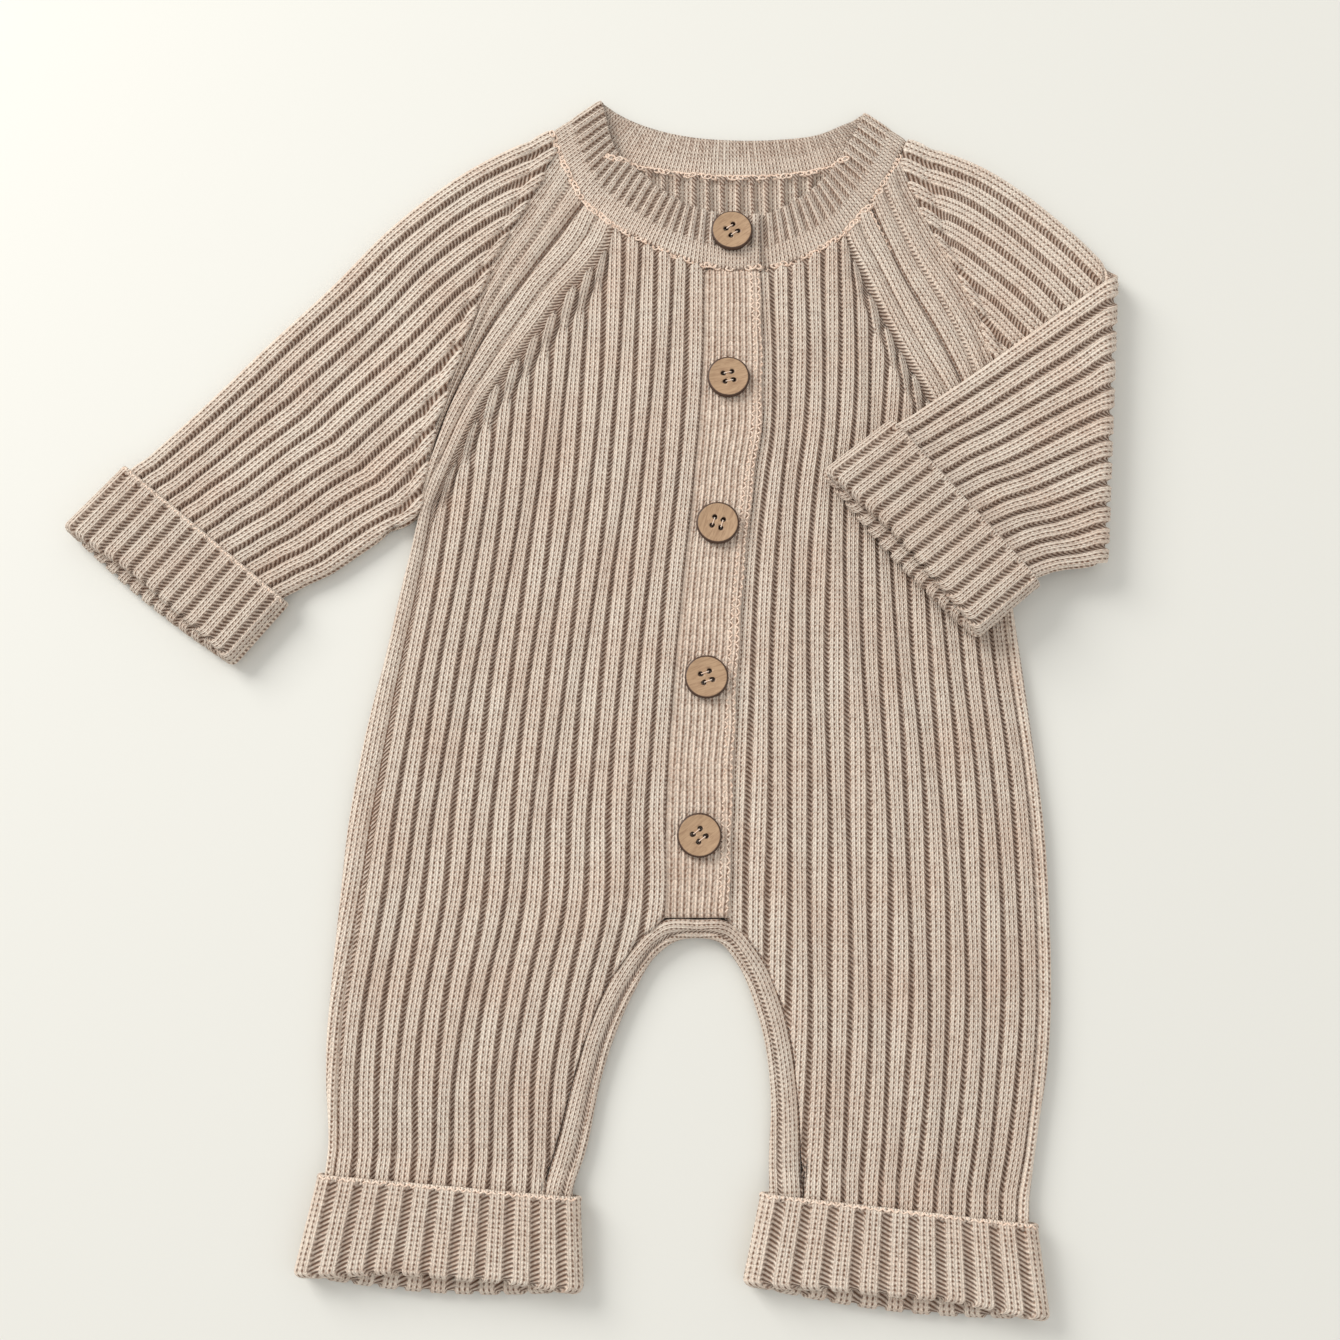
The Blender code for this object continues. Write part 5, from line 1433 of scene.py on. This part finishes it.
def stitchRuns(name, kind, runs, look):
    # One piece of stitches over several runs of points.
    verts, edges = [], []
    for run in runs:
        edges += [(len(verts) + k, len(verts) + k + 1) for k in range(len(run) - 1)]
        verts += [tuple(v) for v in (run + shift) * mm]
    mesh = bpy.data.meshes.new(name)
    mesh.from_pydata(verts, edges, [])
    piece = bpy.data.objects.new(name, mesh)
    bpy.context.scene.collection.objects.link(piece)
    tree, ids = trees[kind]
    modifier = piece.modifiers.new("stitches", "NODES")
    modifier.node_group = tree
    for label, value in look.items():
        modifier[ids[label]] = value
    modifier[ids["Material"]] = yarn
    whole = bpy.data.meshes.new_from_object(piece.evaluated_get(bpy.context.evaluated_depsgraph_get()))
    piece.modifiers.clear()
    piece.data = whole
    whole.name = name
    print(f"{name}: {sum(len(face.vertices) - 2 for face in whole.polygons)} triangles")
    return piece


bpy.context.view_layer.update()
chainLook = {"Spacing": 0.0021, "Length": 0.0031, "Width": 0.0019, "Yarn Radius": 0.00042, "Swing": 0.30,
             "Unevenness": 0.22, "Seed": 7}
edgeLook = {"Spacing": 0.0016, "Length": 0.0023, "Width": 0.0006, "Yarn Radius": 0.0004, "Swing": 0.55,
            "Unevenness": 0.12, "Seed": 3}
bandStitchLook = {"Spacing": 0.0019, "Length": 0.0019, "Width": 0.0003, "Yarn Radius": 0.00036, "Swing": 0.7,
                  "Unevenness": 0.15, "Seed": 5}
threadLook = {"Spacing": 0.02, "Length": 0.0032, "Width": 0.00026, "Yarn Radius": 0.00021, "Swing": 0.0,
              "Unevenness": 0.05, "Seed": 2}
raglanYarnPath = [(87.6, 206.0), (91.5, 198.0), (96.5, 187.5)]


def neckRuns():
    # The chain shows on the right front, inside the back and on the left front.
    rows = np.array(neckRows)
    along = lengths(rows[:, :2])
    spans = ((along[1] + 1.0, along[8]), (along[12] + 7.0, along[17] + 8.0), (along[23], along[-1] - 14.0))
    runs = []
    for first, last in spans:
        where = np.linspace(first, last, int((last - first) / 1.2))
        line = hermite(along, rows[:, :2], where)
        line = line + (hermite(along, rows[:, 2:4], where) - line) * 0.02
        line = line + 0.4 * np.column_stack((np.sin(where * 0.75), np.cos(where * 0.58)))
        runs.append(onTop(line, -0.1))
    return runs


def bandRuns():
    y = np.linspace(-100.0, 174.0, 150)
    edge = hermite(np.array(placketRows)[:, 0], np.array(placketRows)[:, 2], y)
    return [onTop(np.column_stack((edge - 0.9 + 0.3 * np.sin(y / 5.1), y)), 0.05),
            onTop(np.column_stack((edge - 3.6, y)), -0.05)]


def cuffRuns():
    runs = []
    for corners in turnups.values():
        a, b, inner = (np.array(corners[k:k + 2]) for k in (0, 2, 4))
        runs.append(onTop(a + (inner - a) * 0.03 + (b - a) * np.linspace(0.02, 0.98, 60)[:, None], 0.0))
    return runs


def threadRuns(look):
    runs = []
    for place in look["places"]:
        for side in (-1, 1):
            ends = np.array([(end * 0.01, side) for end in (-1, 1)]) * look["holeAt"]
            runs.append(np.column_stack((turned(ends, place), np.full(2, look["face"] + 0.1))))
    return runs


raglanYarn = hermite(np.arange(3.0), np.array(raglanYarnPath), np.linspace(0, 2, 20))
stitched = [
    stitchRuns("neck_linking_chain", "ring", neckRuns(), chainLook),
    stitchRuns("placket_edge_stitches", "hump", bandRuns(), bandStitchLook),
    stitchRuns("raglan_seam_yarn", "hump", [onTop(raglanYarn, 0.1)], edgeLook),
    stitchRuns("cuff_edge_stitches", "hump", cuffRuns(), edgeLook),
]
for number, place in enumerate(buttonLook["places"], 1):
    made[f"button_{number}"] = buildButton(number, place, buttonLook)
stitched.append(stitchRuns("button_thread", "hump", threadRuns(buttonLook), threadLook))
print("buttons and stitches done")


# ---- What each piece is ----

cuts = {  # flat width and length, area of what shows, how it is held, what it lies on
    "front_right": ((0.135, 0.425), 0.0466, "laid", "back"),
    "front_left": ((0.135, 0.435), 0.0454, "laid", "back"),
    "back": ((0.285, 0.460), 0.1001, "laid", "floor"),
    "sleeve_right": ((0.260, 0.235), 0.0406, "laid", "floor"),
    "sleeve_left": ((0.260, 0.240), 0.0452, "folded", "front_left"),
    "gusset": ((0.300, 0.030), 0.0064, "folded", "floor"),
    "turnup_leg_right": ((0.190, 0.080), 0.0123, "folded", "front_right"),
    "turnup_leg_left": ((0.190, 0.080), 0.0126, "folded", "front_left"),
    "turnup_sleeve_right": ((0.165, 0.080), 0.0105, "folded", "sleeve_right"),
    "turnup_sleeve_left": ((0.165, 0.080), 0.0105, "folded", "front_left"),
    "neckband": ((0.390, 0.026), 0.0086, "laid", "back"),
    "placket_buttonhole": ((0.285, 0.028), 0.0076, "laid", "placket_button"),
    "placket_button": ((0.285, 0.025), 0.0061, "laid", "back"),
}
for node, piece in made.items():
    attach(piece, "root")
    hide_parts(node)
    if node in cuts:
        flat, area, held, below = cuts[node]
        made[below].name if below in made else below
for piece in stitched:
    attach(piece, "root")


# ---- Surroundings ----

stage = {
    "floorColour": (0.79, 0.79, 0.745, 1.0), "floorRoughness": 0.6, "floorHalf": 4.0,
    "floorZ": -0.0006,  # just under the lowest loops of the knit
    "worldColour": (1.0, 0.985, 0.96, 1.0), "world": 0.66,
    "window": {"place": (-1.8, 1.5, 1.5), "size": 1.5, "energy": 60.0, "colour": (1.0, 0.98, 0.95)},
    "room": {"place": (0.9, -0.5, 1.2), "size": 1.4, "energy": 2.2, "colour": (1.0, 0.97, 0.94)},
    "lens": 42.98507, "tilt": 12.0, "distance": 0.667,
}


def buildFloor(look):
    half, z = look["floorHalf"], look["floorZ"]
    mesh = bpy.data.meshes.new("floor")
    corners = [(-half, -half, z), (half, -half, z), (half, half, z), (-half, half, z)]
    mesh.from_pydata(corners, [], [(0, 1, 2, 3)])
    floor = bpy.data.objects.new("floor", mesh)
    bpy.context.scene.collection.objects.link(floor)
    material = bpy.data.materials.new("plain_floor")
    material.use_nodes = True
    shader = material.node_tree.nodes["Principled BSDF"]
    shader.inputs["Base Color"].default_value = look["floorColour"]
    shader.inputs["Roughness"].default_value = look["floorRoughness"]
    mesh.materials.append(material)
    return floor


def softWorld(look):
    world = bpy.data.worlds.new("soft_light")
    world.use_nodes = True
    background = world.node_tree.nodes["Background"]
    background.inputs["Color"].default_value = look["worldColour"]
    background.inputs["Strength"].default_value = look["world"]
    bpy.context.scene.world = world
    bpy.context.scene.view_settings.view_transform = "Standard"


def areaLight(name, look):
    light = bpy.data.lights.new(name, "AREA")
    light.shape = "RECTANGLE"
    light.size = light.size_y = look["size"]
    light.energy = look["energy"]
    light.color = look["colour"]
    lamp = bpy.data.objects.new(name, light)
    lamp.location = look["place"]
    lamp.rotation_euler = (-Vector(look["place"])).to_track_quat("-Z", "Y").to_euler()
    bpy.context.scene.collection.objects.link(lamp)


def placeCamera(look):
    camera = bpy.data.cameras.new("camera")
    camera.sensor_width = 36.0
    camera.lens = look["lens"]
    eye = bpy.data.objects.new("camera", camera)
    tilt = math.radians(look["tilt"])
    eye.location = Vector(shift) * mm + Vector((0.0, -math.sin(tilt), math.cos(tilt))) * look["distance"]
    eye.rotation_euler = (tilt, 0.0, 0.0)
    bpy.context.scene.collection.objects.link(eye)
    bpy.context.scene.camera = eye


buildFloor(stage)
softWorld(stage)
areaLight("window", stage["window"])
areaLight("room", stage["room"])
placeCamera(stage)

print("all done")
